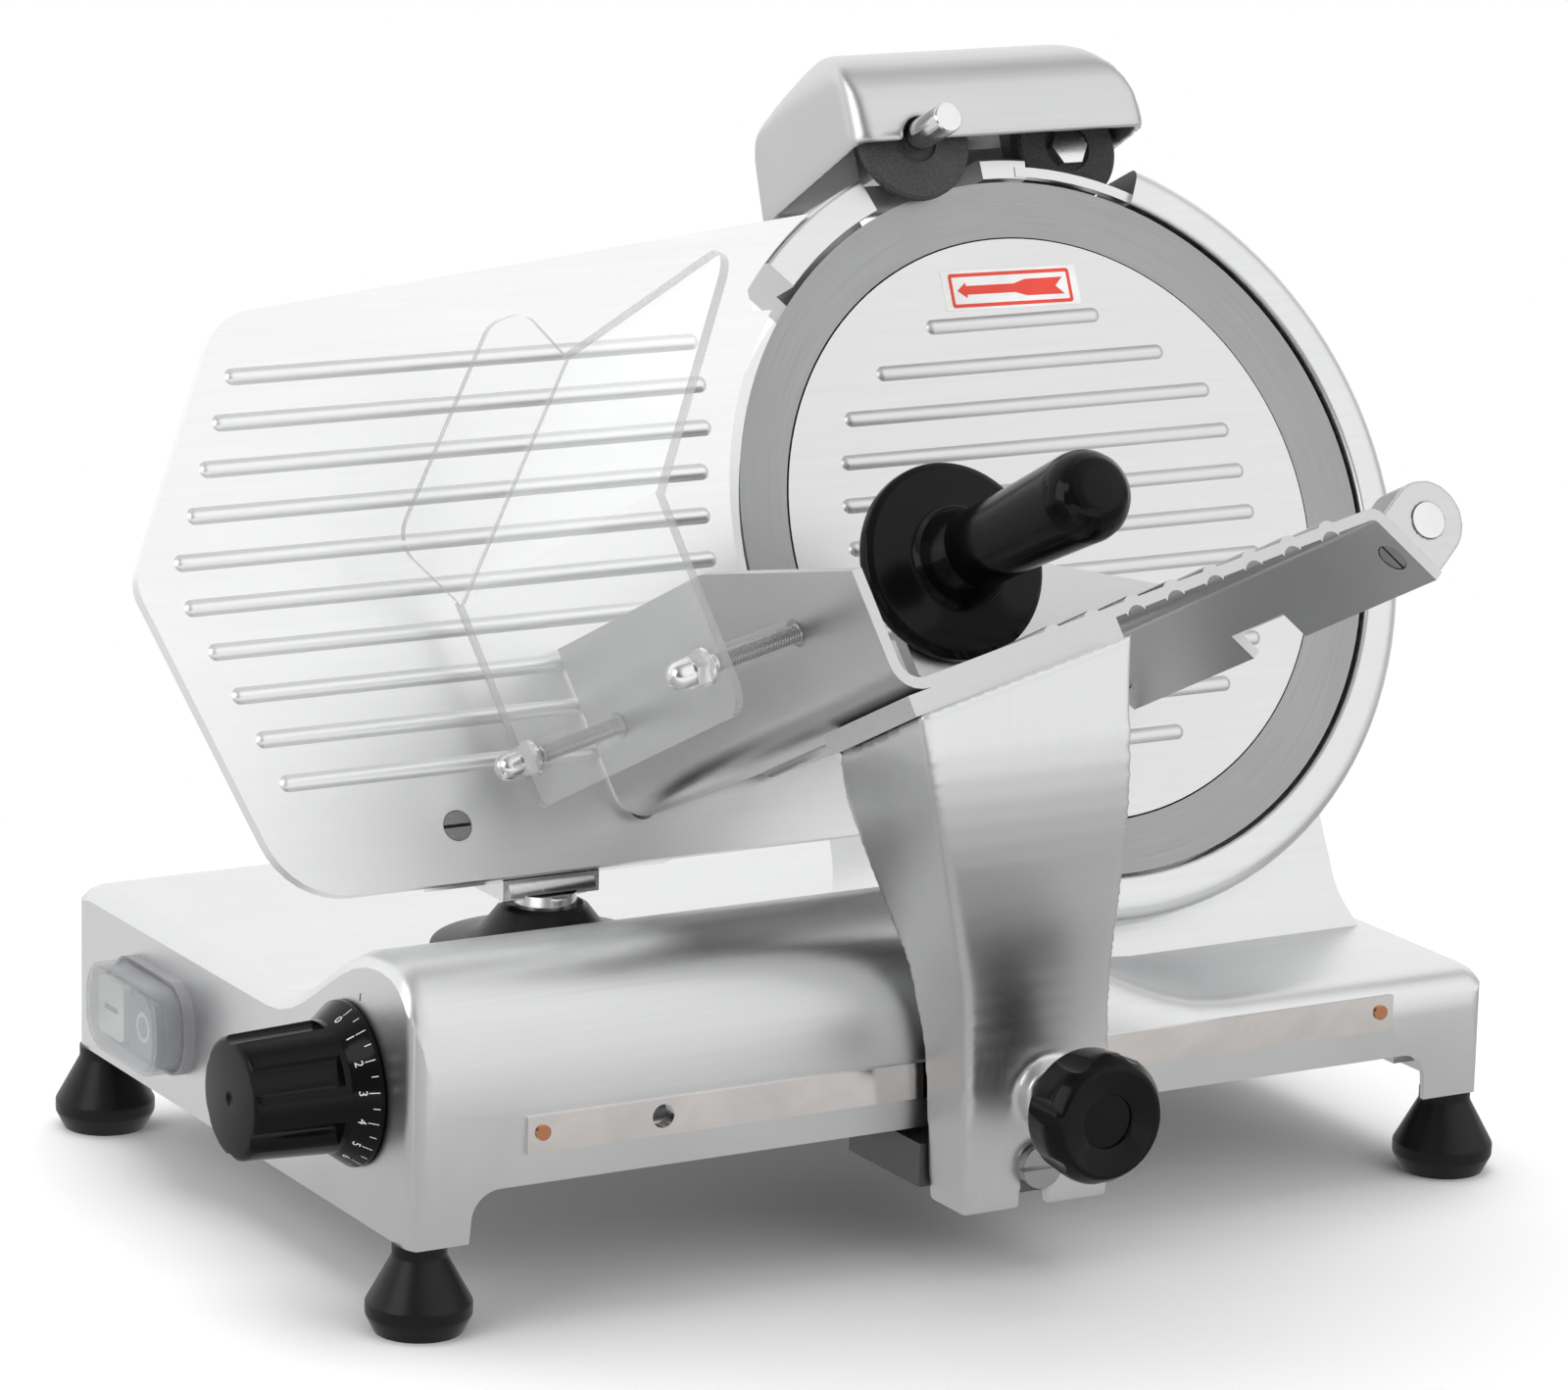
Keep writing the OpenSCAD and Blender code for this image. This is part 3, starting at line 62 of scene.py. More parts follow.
# the dial's middle, and its turn in degrees at zero and for each millimetre of slice
DIAL_MIDDLE = np.array(JOINTS["dial_turn"]["pos_m"])
SLICE_MAX = int(round(JOINTS["gauge_slide"]["range_m"][1] * 1000))
DIAL_STEP = JOINTS["dial_turn"]["range_deg"][1] / SLICE_MAX
DIAL_ZERO = 12.0

# radius and height of the dial's cone at its rim and at its neck
DIAL_RIM = np.array([0.0273, 0.0022])
DIAL_NECK = np.array([0.0218, 0.0098])

# the tray's corner and roll in the blade's frame, and its guard studs (off the blade, up the wall)
TRAY_CORNER = np.array([-0.192, -0.088])
TRAY_ROLL = math.radians(12.5)
STUDS = ((0.0245, 0.0310), (0.1520, 0.0326))

# right, up and outward on the wall that carries the switch and the dial
LEFT_WALL = np.array([[0.0, -1.0, 0.0], [0.0, 0.0, 1.0], [-1.0, 0.0, 0.0]])

# the sticker: its middle (u, v), its tilt, and heights along n of the blade cover's face and of
# the paper and the ink above that face
STICKER_MIDDLE = np.array([0.0017, 0.0870])
STICKER_TILT = math.radians(-0.9)
COVER_FACE = -0.0026
PAPER_LOW, PAPER_TOP, INK_TOP = 0.00002, 0.00010, 0.00013

# upper half of the arrow from the sticker's middle: tip, barb, foot of the barb, end of the shaft,
# start of the tail, corner of the tail and its notch
ARROW_HALF = np.array([(-0.0220, 0.0), (-0.0184, 0.0028), (-0.0181, 0.0016), (0.0015, 0.0016),
                       (0.0062, 0.0030), (0.0218, 0.0031), (0.0185, 0.0)])

# turns of the brushing: along the slicer, along it but rolled over, upright, and across the tray
ALONG = (0.0, 0.0, 0.0)
ROLLED = (math.pi / 2, 0.0, 0.0)
UPRIGHT = (0.0, math.pi / 2, 0.0)
ACROSS = (0.0, 0.0, math.radians(65))

# distance at which points of a solid are joined, and the bends past which an edge stays sharp or
# gets a bevel
WELD = 2e-6
SHARP_EDGE = math.radians(28)
BEVEL_EDGE = math.radians(40)

# lamps: name, property of the power, width and height, place, target, shown in the metals or not
LAMPS = (
    ("Key lamp", "key", (1.5, 1.1), (0.05, 0.25, 1.15), (0.0, 0.05, 0.1), False),
    ("Side lamp", "side", (0.8, 1.0), (-1.25, -0.25, 0.75), (0.0, 0.0, 0.15), True),
    ("Front lamp", "front", (0.9, 0.5), (0.55, -1.35, 0.95), (0.0, 0.0, 0.15), False),
)

# direction of the room's soft panel, half the width of the floor, and white light
PANEL_WAY = (0.49, -0.68, 0.545)
FLOOR_HALF = 8.0
WHITE = (1.0, 1.0, 1.0, 1.0)


def size(name, default, description):
    """A length property in metres."""
    return FloatProperty(name=name, description=description, default=default, unit="LENGTH",
                         precision=5)


def angle(name, degrees, description):
    """An angle property, given here in degrees."""
    return FloatProperty(name=name, description=description, default=math.radians(degrees),
                         subtype="ANGLE")


def number(name, default, description):
    """A property that is a plain number."""
    return FloatProperty(name=name, description=description, default=default)


def colour(name, default, description):
    """A linear colour property."""
    return FloatVectorProperty(name=name, description=description, default=default,
                               subtype="COLOR", size=3, min=0.0, max=1.0)


class SlicerSizes(bpy.types.PropertyGroup):
    """Sizes of the marks and of the small pieces."""

    digit_height: size("Digit height", 0.0029, "Height of the dial's numbers")
    digit_gap: size("Digit gap", 0.0006, "Gap between a tick and its number")
    tick_inset: size("Tick inset", 0.0004, "Distance of the ticks from the dial's rim")
    tick_long: size("Long tick", 0.0036, "Length of a numbered tick on the dial")
    tick_short: size("Short tick", 0.0023, "Length of a half tick on the dial")
    tick_width: size("Tick width", 0.00030, "Width of the ticks")
    index_width: size("Index width", 0.0006, "Width of the mark that the dial is read against")
    index_height: size("Index height", 0.0028, "Height of that mark")
    index_radius: size("Index radius", 0.0311, "Distance of that mark from the dial's middle")
    sticker_width: size("Sticker width", 0.0555, "Width of the sticker's paper")
    sticker_height: size("Sticker height", 0.0143, "Height of the sticker's paper")
    border_width: size("Border width", 0.0498, "Width of the red border on the sticker")
    border_height: size("Border height", 0.0124, "Height of the red border")
    border_line: size("Border line", 0.0013, "Thickness of the red border's line")
    bar_width: size("Bar width", 0.0106, "Width of the start button's bar")
    bar_height: size("Bar height", 0.0017, "Height of the start button's bar")
    ring_outer: size("Ring outside", 0.0053, "Outer radius of the stop button's ring")
    ring_inner: size("Ring inside", 0.0039, "Inner radius of the stop button's ring")
    inlay_depth: size("Inlay depth", 0.0004, "How far behind a button's front its symbol starts")
    inlay_height: size("Inlay height", 0.0003, "Thickness of a button's symbol")
    slot_width: size("Slot width", 0.00105, "Width of the slots of the gauge plate's screws")
    slot_depth: size("Slot depth", 0.00112, "Depth at which the dark floor of a slot lies")
    thread_pitch: size("Thread pitch", 0.001, "Pitch of the guard studs' thread")
    thread_root: size("Thread root", 0.00263, "Radius at the bottom of the thread")
    thread_depth: size("Thread depth", 0.00036, "Depth of the thread")
    thread_start: size("Thread start", 0.0006, "Distance of the thread from the tray's wall")
    thread_length: size("Thread length", 0.031, "Length of the thread inside a spacer")
    casting_edge: size("Casting edge", 0.0009, "Width of the softened edges of the base")
    casting_grain: size("Casting grain", 0.0012, "Grain of the new skin of the cap and the column")
    lug_grain: size("Lug grain", 0.0006, "Grain of the new skin of the lugs")
    sheet_edge: size("Sheet edge", 0.0004, "Width of the softened edges of sheets and mouldings")


class SlicerColours(bpy.types.PropertyGroup):
    """Colours of the finishes."""

    cast: colour("Casting", (0.77, 0.774, 0.778), "Satin cast aluminium")
    sheet: colour("Sheet", (0.765, 0.768, 0.771), "Brushed aluminium sheet")
    steel: colour("Steel", (0.40, 0.402, 0.406), "Ground blade steel")
    bright: colour("Bright steel", (0.80, 0.80, 0.805), "Polished stainless steel")
    strip: colour("Strip", (0.82, 0.785, 0.765), "Polished wear strip")
    copper: colour("Copper", (0.58, 0.27, 0.14), "Copper rivets")
    bronze: colour("Bronze", (0.60, 0.42, 0.18), "Bearing bronze")
    black: colour("Black", (0.004, 0.004, 0.0045), "Moulded black plastic")
    rubber: colour("Rubber", (0.007, 0.007, 0.0075), "Black rubber")
    clear: colour("Clear", (0.975, 0.985, 0.99), "Clear polycarbonate")
    frost: colour("Frosted", (0.46, 0.47, 0.48), "Frosted switch cover")
    white: colour("White", (0.84, 0.84, 0.83), "White button and paper")
    grey: colour("Grey", (0.36, 0.36, 0.37), "Grey button")
    switch: colour("Switch frame", (0.30, 0.30, 0.31), "Grey switch frame")
    stone: colour("Stone", (0.040, 0.040, 0.041), "Sharpening stone")
    motor: colour("Motor", (0.10, 0.105, 0.115), "Painted motor")
    red: colour("Red", (0.78, 0.055, 0.030), "Red ink of the sticker")
    floor: colour("Floor", (0.93, 0.93, 0.93), "Studio floor")


class SlicerStudio(bpy.types.PropertyGroup):
    """Camera and light."""

    azimuth: angle("Azimuth", -30.091, "Camera round the slicer, from the front")
    elevation: angle("Elevation", 13.322, "Camera above the horizon")
    roll: angle("Roll", 1.408, "Camera's roll")
    aim: FloatVectorProperty(name="Aim", description="Point in the middle of the picture", size=3,
                             default=(-0.07369, -0.08970, 0.20129), subtype="TRANSLATION")
    distance: size("Distance", 2.0911, "Camera from the point it aims at")
    lens: number("Lens", 149.15, "Focal length in millimetres")
    sensor: number("Sensor", 36.0, "Width of the camera's sensor in millimetres")
    depth: size("View depth", 50.0, "How far the camera sees")
    key: number("Key lamp", 10.0, "Power of the large lamp overhead, in watts")
    side: number("Side lamp", 5.0, "Power of the lamp on the left, in watts")
    front: number("Front lamp", 2.0, "Power of the lamp in front, in watts")
    room: number("Room", 0.20, "Brightness of the room away from its panels")
    panel: number("Panels", 1.12, "Brightness of the backdrop and the soft panel")
    near_floor: number("Near floor", 0.5, "Brightness of the floor just in front, in reflections")


def sizes():
    """The scene's sizes."""
    return bpy.context.scene.slicer_sizes


def colours():
    """The scene's colours."""
    return bpy.context.scene.slicer_colours


# node trees


class Wiring:
    """Adds nodes to a tree, setting or linking their inputs by name or number."""

    def __init__(self, tree):
        self.tree = tree

    def add(self, kind, inputs=None, **settings):
        """A new node with these settings and inputs."""
        node = self.tree.nodes.new(kind)
        for key, value in settings.items():
            setattr(node, key, value)
        for key, value in (inputs or {}).items():
            self.join(node.inputs[key], value)
        return node

    def join(self, socket, value):
        """Links a socket to another one, or sets it to a plain value."""
        if isinstance(value, bpy.types.NodeSocket):
            self.tree.links.new(value, socket)
        else:
            socket.default_value = value

    def maths(self, operation, a, b=0.0, c=0.0):
        """One step of arithmetic."""
        return self.add("ShaderNodeMath", {0: a, 1: b, 2: c}, operation=operation).outputs[0]

    def vector(self, operation, *values):
        """One step with vectors: a length or a dot product is a number, the others are vectors."""
        node = self.add("ShaderNodeVectorMath", dict(enumerate(values)), operation=operation)
        return node.outputs["Value" if operation in ("LENGTH", "DOT_PRODUCT") else "Vector"]

    def split(self, vector):
        """The x, y and z of a vector."""
        return self.add("ShaderNodeSeparateXYZ", {0: vector}).outputs

    def combine(self, x, y, z=0.0):
        """A vector of x, y and z."""
        return self.add("ShaderNodeCombineXYZ", {0: x, 1: y, 2: z}).outputs[0]

    def noise(self, vector, scale, detail=2.0, rough=0.5, twist=0.0):
        """Noise from 0 to 1."""
        return self.add("ShaderNodeTexNoise", {"Vector": vector, "Scale": scale, "Detail": detail,
                                               "Roughness": rough, "Distortion": twist}).outputs[0]

    def spread(self, value, low, high, to_low=0.0, to_high=1.0):
        """The value carried from low and high to two other ends, and held between them."""
        return self.add("ShaderNodeMapRange", {0: value, 1: low, 2: high, 3: to_low, 4: to_high},
                        clamp=True).outputs[0]

    def lift(self, value, mask, by):
        """The value plus an amount times the mask."""
        return self.maths("MULTIPLY_ADD", mask, by, value)

    def sway(self, value, mask, by):
        """The value plus an amount times what the mask is above one half."""
        return self.lift(value, self.maths("SUBTRACT", mask, 0.5), by)

    def blend(self, share, a, b):
        """Colour a where the share is 0 and b where it is 1; the names of its sockets repeat."""
        node = self.add("ShaderNodeMix", data_type="RGBA")
        for key, value in ((0, share), (6, a), (7, b)):
            self.join(node.inputs[key], value)
        return node.outputs[2]

    def tint(self, share, base, low, high):
        """The base colour times low where the share is 0, and times high where it is 1."""
        return self.blend(share, shade(base, low), shade(base, high))

    def bump(self, height, strength, depth):
        """The normal of a surface raised by the height."""
        return self.add("ShaderNodeBump", {"Strength": strength, "Distance": depth,
                                           "Height": height}).outputs[0]

    def group(self, tree, **inputs):
        """The one output of a node group."""
        return self.add("ShaderNodeGroup", inputs, node_tree=tree).outputs[0]


def shade(base, factor):
    """A colour times a factor, held below 1, as red, green, blue and a full alpha."""
    return (*(min(1.0, part * factor) for part in base[:3]), 1.0)


def effect(name, output, build, **defaults):
    """A shader node group made once: it takes a place and numbers, and build gives its output."""
    if name in bpy.data.node_groups:
        return bpy.data.node_groups[name]
    tree = bpy.data.node_groups.new(name, "ShaderNodeTree")
    tree.interface.new_socket("Vector", in_out="INPUT", socket_type="NodeSocketVector")
    for key, value in defaults.items():
        socket = tree.interface.new_socket(key, in_out="INPUT", socket_type="NodeSocketFloat")
        socket.default_value = value
    tree.interface.new_socket(output, in_out="OUTPUT", socket_type="NodeSocketFloat")
    w = Wiring(tree)
    given = w.add("NodeGroupInput").outputs
    w.add("NodeGroupOutput", {output: build(w, given)})
    return tree


def brushed():
    """Brush strokes along x: noise squeezed across the stroke and drawn out along it."""

    def build(w, given):
        across = given["Fineness"]
        along = w.maths("MULTIPLY", given["Fineness"], given["Shortness"])
        place = w.vector("MULTIPLY", given["Vector"], w.combine(along, across, across))
        return w.noise(place, scale=1.0, detail=4.0, rough=0.68)

    return effect("Brushed", "Stroke", build, Fineness=900.0, Shortness=0.012)


def turned():
    """Turning marks about z: noise of the radius, with some of the direction so they break up."""
    breaks = 3.0

    def build(w, given):
        x, y, _ = w.split(given["Vector"])
        flat = w.combine(x, y)
        rings = w.maths("MULTIPLY", w.vector("LENGTH", flat), given["Fineness"])
        way = w.split(w.vector("NORMALIZE", flat))
        around = [w.maths("MULTIPLY", way[axis], breaks) for axis in (0, 1)]
        return w.noise(w.combine(rings, *around), scale=1.0, detail=3.0, rough=0.6)

    return effect("Turned", "Ring", build, Fineness=1200.0)


def grain():
    """Fine even grain: two octaves of noise at the given scale."""

    def build(w, given):
        return w.noise(given["Vector"], given["Scale"], detail=2.0, rough=0.6)

    return effect("Grain", "Grain", build, Scale=800.0)


def smudges():
    """Broad soft clouds of handling and polishing: warped low noise, stretched to fill 0 to 1."""

    def build(w, given):
        cloud = w.noise(given["Vector"], given["Scale"], detail=3.0, rough=0.55, twist=0.6)
        return w.spread(cloud, low=0.32, high=0.68)

    return effect("Smudges", "Smudge", build, Scale=14.0)


def scratches():
    """Sparse hair lines in two directions: the crests of very drawn out noise."""
    turns = ((0.6, 0.42, 0.6), (-0.9, -0.63, -0.9))
    drawn_out, hair_width = (22.0, 1500.0, 900.0), 0.05

    def build(w, given):
        lines = []
        for turn in turns:
            way = w.add("ShaderNodeMapping", {"Vector": given["Vector"], "Rotation": turn})
            drawn = w.vector("MULTIPLY", way.outputs[0], drawn_out)
            hair = w.noise(drawn, scale=1.0, detail=1.0)
            crest = w.maths("ADD", given["Rarity"], hair_width)
            lines.append(w.spread(hair, low=given["Rarity"], high=crest))
        return w.maths("MAXIMUM", *lines)

    return effect("Scratches", "Scratch", build, Rarity=0.74)


# finishes


def finish(name, build, **constants):
    """A material made once: build gives the sockets that vary, the constants are plain sockets."""
    if name in bpy.data.materials:
        return bpy.data.materials[name]
    material = bpy.data.materials.new(name)
    material.use_nodes = True
    material.node_tree.nodes.clear()
    w = Wiring(material.node_tree)
    plain = {key.replace("_", " "): value for key, value in constants.items()}
    shader = w.add("ShaderNodeBsdfPrincipled", plain)
    w.add("ShaderNodeOutputMaterial", {"Surface": shader.outputs[0]})
    place = w.add("ShaderNodeTexCoord").outputs["Object"]
    for socket, value in build(w, place).items():
        w.join(shader.inputs[socket], value)
    return material


def wear(w, place, cloud_scale, rarity):
    """The clouds and the hair lines that most finishes share."""
    cloud = w.group(smudges(), Vector=place, Scale=cloud_scale)
    return cloud, w.group(scratches(), Vector=place, Rarity=rarity)


def satin_metal(name, base, rough, turn, fineness=700.0):
    """Metal brushed along x after the turn: strokes and smudges in colour, roughness and bump."""

    def build(w, place):
        way = w.add("ShaderNodeMapping", {"Vector": place, "Rotation": turn}).outputs[0]
        stroke = w.group(brushed(), Vector=way, Fineness=fineness, Shortness=0.012)
        cloud, hair = wear(w, place, cloud_scale=11.0, rarity=0.76)
        tone = w.tint(cloud, base, low=0.955, high=1.03)
        streak = w.spread(stroke, low=0.3, high=0.7, to_high=0.22)
        worn = w.sway(w.sway(rough, cloud, by=0.07), stroke, by=0.12)
        return {"Base Color": w.blend(streak, tone, shade(base, 0.88)),
                "Roughness": w.lift(worn, hair, by=-0.06),
                "Normal": w.bump(w.lift(stroke, hair, by=-0.5), strength=0.12, depth=0.00015)}

    return finish(name, build, Metallic=1.0)


def turned_metal(name, base, rough, middle, turn):
    """Metal ground about an axis: rings in colour, roughness and bump, with clouds over them."""

    def build(w, place):
        way = w.add("ShaderNodeMapping", {"Vector": place, "Location": tuple(middle),
                                          "Rotation": turn}, vector_type="TEXTURE").outputs[0]
        ring = w.group(turned(), Vector=way, Fineness=1500.0)
        cloud = w.group(smudges(), Vector=place, Scale=18.0)
        tone = w.tint(cloud, base, low=0.93, high=1.05)
        streak = w.spread(ring, low=0.3, high=0.7, to_high=0.35)
        return {"Base Color": w.blend(streak, tone, shade(base, 0.82)),
                "Roughness": w.sway(w.sway(rough, ring, by=0.14), cloud, by=0.06),
                "Normal": w.bump(ring, strength=0.1, depth=0.00012)}

    return finish(name, build, Metallic=1.0)


def bright_metal(name, base, rough):
    """Polished metal: faint clouds and hair lines in its gloss."""

    def build(w, place):
        cloud, hair = wear(w, place, cloud_scale=45.0, rarity=0.70)
        worn = w.lift(rough - 0.02, cloud, by=0.05)
        return {"Base Color": w.tint(cloud, base, low=0.93, high=1.04),
                "Roughness": w.lift(worn, hair, by=0.12),
                "Normal": w.bump(w.lift(cloud, hair, by=-1.0), strength=0.03, depth=0.0001)}

    return finish(name, build, Metallic=1.0)


def moulded(name, base, rough, grain_scale, strength, **constants):
    """Plastic or rubber: fine grain in the bump, clouds in colour and gloss, a few hair lines."""

    def build(w, place):
        speck = w.group(grain(), Vector=place, Scale=grain_scale)
        cloud, hair = wear(w, place, cloud_scale=26.0, rarity=0.77)
        tone = w.tint(cloud, base, low=0.85, high=1.15)
        scuff = w.maths("MULTIPLY", hair, 0.25)
        return {"Base Color": w.blend(scuff, tone, shade(base, 1.9)),
                "Roughness": w.lift(w.sway(rough, cloud, by=0.08), hair, by=0.15),
                "Normal": w.bump(speck, strength, depth=0.0002)}

    return finish(name, build, **constants)


def see_through(name, base, painted_sheen):
    """Clear plastic: nearly unseen face on, with a painted sheen that whitens it where it turns
    edge on, and faint wear.
    """
    glass, falloff = 0.03, 1.6

    def build(w, place):
        cloud, hair = wear(w, place, cloud_scale=20.0, rarity=0.72)
        # painted sheen: the white colour shows more as the face turns edge on, standing in for the
        # glare of clear plastic seen at a slant
        facing = w.add("ShaderNodeLayerWeight", {"Blend": 0.4}).outputs["Facing"]
        edge = w.maths("POWER", facing, falloff)
        edge = w.spread(edge, low=0.0, high=1.0, to_low=glass, to_high=painted_sheen)
        return {"Base Color": w.tint(cloud, base, low=0.96, high=1.0),
                "Roughness": w.lift(w.lift(0.02, hair, by=0.1), cloud, by=0.04),
                "Alpha": w.lift(edge, cloud, by=0.02)}

    return finish(name, build, Specular_IOR_Level=0.8)


def grit(name, base):
    """Bonded abrasive: pale and dark grains in the colour and a coarse bump."""

    def build(w, place):
        cells = w.add("ShaderNodeTexVoronoi", {"Vector": place, "Scale": 1400.0})
        speck = w.group(grain(), Vector=place, Scale=2200.0)
        sharp = w.spread(cells.outputs["Distance"], low=0.0, high=0.6)
        tone = w.tint(speck, base, low=0.5, high=2.2)
        return {"Base Color": w.blend(sharp, shade(base, 2.6), tone),
                "Roughness": w.lift(0.7, speck, by=0.2),
                "Normal": w.bump(w.maths("ADD", sharp, speck), strength=0.6, depth=0.0004)}

    return finish(name, build)


def dress(material, *names):
    """Puts a finish on CAD nodes."""
    for name in names:
        for slot in NODES[name].material_slots:
            slot.material = material


# edges


def smoothing():
    """Geometry group that joins a solid's loose faces and shades it smooth but for sharp edges."""
    name = "Smooth shading"
    if name in bpy.data.node_groups:
        return bpy.data.node_groups[name]
    tree = bpy.data.node_groups.new(name, "GeometryNodeTree")
    for way in ("INPUT", "OUTPUT"):
        tree.interface.new_socket("Geometry", in_out=way, socket_type="NodeSocketGeometry")
    w = Wiring(tree)
    bend = w.add("GeometryNodeInputMeshEdgeAngle").outputs["Unsigned Angle"]
    sharp = w.add("FunctionNodeCompare", {0: bend, 1: SHARP_EDGE}, operation="GREATER_THAN")
    creased = {"Selection": sharp.outputs[0], "Shade Smooth": False}
    solid = w.add("NodeGroupInput").outputs[0]
    for kind, inputs, settings in (
            ("GeometryNodeRemoveAttribute", {"Name": "custom_normal"}, {}),
            ("GeometryNodeMergeByDistance", {"Distance": WELD}, {}),
            ("GeometryNodeSetShadeSmooth", {}, {"domain": "FACE"}),
            ("GeometryNodeSetShadeSmooth", {}, {"domain": "EDGE"}),
            ("GeometryNodeSetShadeSmooth", creased, {"domain": "EDGE"})):
        solid = w.add(kind, {"Geometry": solid, **inputs}, **settings).outputs[0]
    w.add("NodeGroupOutput", {"Geometry": solid})
    return tree


def soften(edge, *names):
    """Smooth shading on CAD nodes, and a narrow bevel on sharp edges where edge isn't zero."""
    for name in names:
        NODES[name].modifiers.new("Smooth", "NODES").node_group = smoothing()
        if edge > 0:
            bevel = NODES[name].modifiers.new("Edge", "BEVEL")
            bevel.width = edge
            bevel.segments = 2
            bevel.limit_method = "ANGLE"
            bevel.angle_limit = BEVEL_EDGE
            bevel.harden_normals = True


def round_over(name, step, passes):
    """Rounds a casting all over: a new skin of even steps, relaxed a number of times."""
    skin = NODES[name].modifiers.new("Skin", "REMESH")
    skin.mode = "VOXEL"
    skin.voxel_size = step
    skin.use_smooth_shade = True
    relax = NODES[name].modifiers.new("Relax", "SMOOTH")
    relax.factor = 0.5
    relax.iterations = passes


# meshes


def mesh_piece(name, points, faces, material, body, slot, smooth=False):
    """A new piece of the given points and faces, riding on a body."""
    mesh = bpy.data.meshes.new(name)
    mesh.from_pydata(np.asarray(points, float).tolist(), [], faces)
    mesh.polygons.foreach_set("use_smooth", [smooth] * len(mesh.polygons))
    mesh.update()
    mesh.materials.append(material)
    piece = bpy.data.objects.new(name, mesh)
    bpy.context.scene.collection.objects.link(piece)
    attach(piece, body)


def grid_faces(rows, columns, round_rows=False, round_columns=False):
    """Quads of points numbered row by row; a round direction joins its last line to its first."""
    r = np.arange(rows if round_rows else rows - 1)
    c = np.arange(columns if round_columns else columns - 1)
    r, c = np.meshgrid(r, c, indexing="ij")
    a, b = (r + 1) % rows, (c + 1) % columns
    corners = (r * columns + c, r * columns + b, a * columns + b, a * columns + c)
    return np.stack(corners, -1).reshape(-1, 4).tolist()


def levels(*lines):
    """Points of flat outlines, each at its own height."""
    return np.concatenate([np.c_[outline, np.full(len(outline), height)]
                           for outline, height in lines])


def prism(outline, low, high):
    """A flat outline carried from height low to height high, closed at both ends."""
    count = len(outline)
    ends = [list(range(count))[::-1], list(range(count, 2 * count))]
    faces = grid_faces(2, count, round_columns=True)
    return levels((outline, low), (outline, high)), faces + ends


def band(outer, inner, low, high):
    """Closed band between two outlines of as many points, from height low to height high."""
    points = levels((outer, low), (outer, high), (inner, high), (inner, low))
    return points, grid_faces(4, len(outer), round_rows=True, round_columns=True)


def ring(radius, count=40):
    """Outline of a circle: radius times the cosine and sine of an even turn."""
    turn = np.linspace(0, 2 * math.pi, count, endpoint=False)
    return radius * np.c_[np.cos(turn), np.sin(turn)]


def rounded_box(width, height, radius, steps=6):
    """Outline of a rounded rectangle: a quarter circle of points about each inner corner."""
    x, y = width / 2 - radius, height / 2 - radius
    quarter = np.linspace(0, math.pi / 2, steps)
    turns = [quarter + k * math.pi / 2 for k in range(4)]
    corners = ((x, y), (-x, y), (-x, -y), (x, -y))
    return np.concatenate([np.array(corner) + radius * np.c_[np.cos(turn), np.sin(turn)]
                           for corner, turn in zip(corners, turns)])


def gather(parts):
    """Points and faces of several meshes as one."""
    points, faces, first = [], [], 0
    for some, polygons in parts:
        points.append(some)
        faces += [[first + i for i in polygon] for polygon in polygons]
        first += len(some)
    return np.concatenate(points), faces


def mesh_points(mesh):
    """Points of a mesh as an array."""
    points = np.empty(len(mesh.vertices) * 3)
    mesh.vertices.foreach_get("co", points)
    return points.reshape(-1, 3)


def box_of(points):
    """Lowest and highest corner of some points."""
    return points.min(0), points.max(0)


def rim_of(name, lift):
    """A sheet's rim: the faces that look along none of its broad sides, raised by lift.

    Two faces look alike where their normals are nearly parallel, and a side is broad where the
    faces alike have more than a small share of the sheet's area.
    """
    parallel, broad_share, digits, tiny = 0.995, 0.06, 7, 1e-9
    mesh = NODES[name].data
    count = len(mesh.polygons)
    ways, areas, corners = np.empty(count * 3), np.empty(count), np.empty(count * 3, int)
    mesh.polygons.foreach_get("normal", ways)
    mesh.polygons.foreach_get("area", areas)
    mesh.loops.foreach_get("vertex_index", corners)
    ways, corners = ways.reshape(-1, 3), corners.reshape(-1, 3)
    alike = (np.abs(ways @ ways.T) > parallel) @ areas
    narrow = alike < broad_share * areas.sum()
    loose = mesh_points(mesh)[corners[narrow]].reshape(-1, 3).round(digits)
    spots, faces = np.unique(loose, axis=0, return_inverse=True)
    faces = faces.reshape(-1, 3)
    out = np.zeros_like(spots)
    np.add.at(out, faces, ways[narrow][:, None, :])
    out /= np.maximum(np.linalg.norm(out, axis=1, keepdims=True), tiny)
    return spots + lift * out, faces.tolist()


def lettering(text, height):
    """Points (x to the right, y up, from the middle) and faces of a number, as a flat mesh.

    The font's size is larger than its digits are high, by the same factor for all of them.
    """
    font_factor = 1.4
    curve = bpy.data.curves.new("number", "FONT")
    curve.body, curve.size = text, height * font_factor
    curve.align_x, curve.align_y = "CENTER", "CENTER"
    writing = bpy.data.objects.new("number", curve)
    bpy.context.scene.collection.objects.link(writing)
    mesh = bpy.data.meshes.new_from_object(writing)
    points = mesh_points(mesh)
    faces = [list(polygon.vertices) for polygon in mesh.polygons]
    bpy.data.objects.remove(writing)
    bpy.data.curves.remove(curve)
    bpy.data.meshes.remove(mesh)
    return points, faces


# places


def on_blade(points):
    """Points (u, v, n) of the blade's frame in the slicer's frame."""
    return BLADE_MIDDLE + np.asarray(points, float) @ BLADE_AXES


def on_tray(along, up, off):
    """Points along the tray's floor, up its wall and off the blade, in the slicer's frame."""
    c, s = math.cos(TRAY_ROLL), math.sin(TRAY_ROLL)
    u = TRAY_CORNER[0] + along * c - up * s
    v = TRAY_CORNER[1] + along * s + up * c
    return on_blade(np.c_[u, v, off])


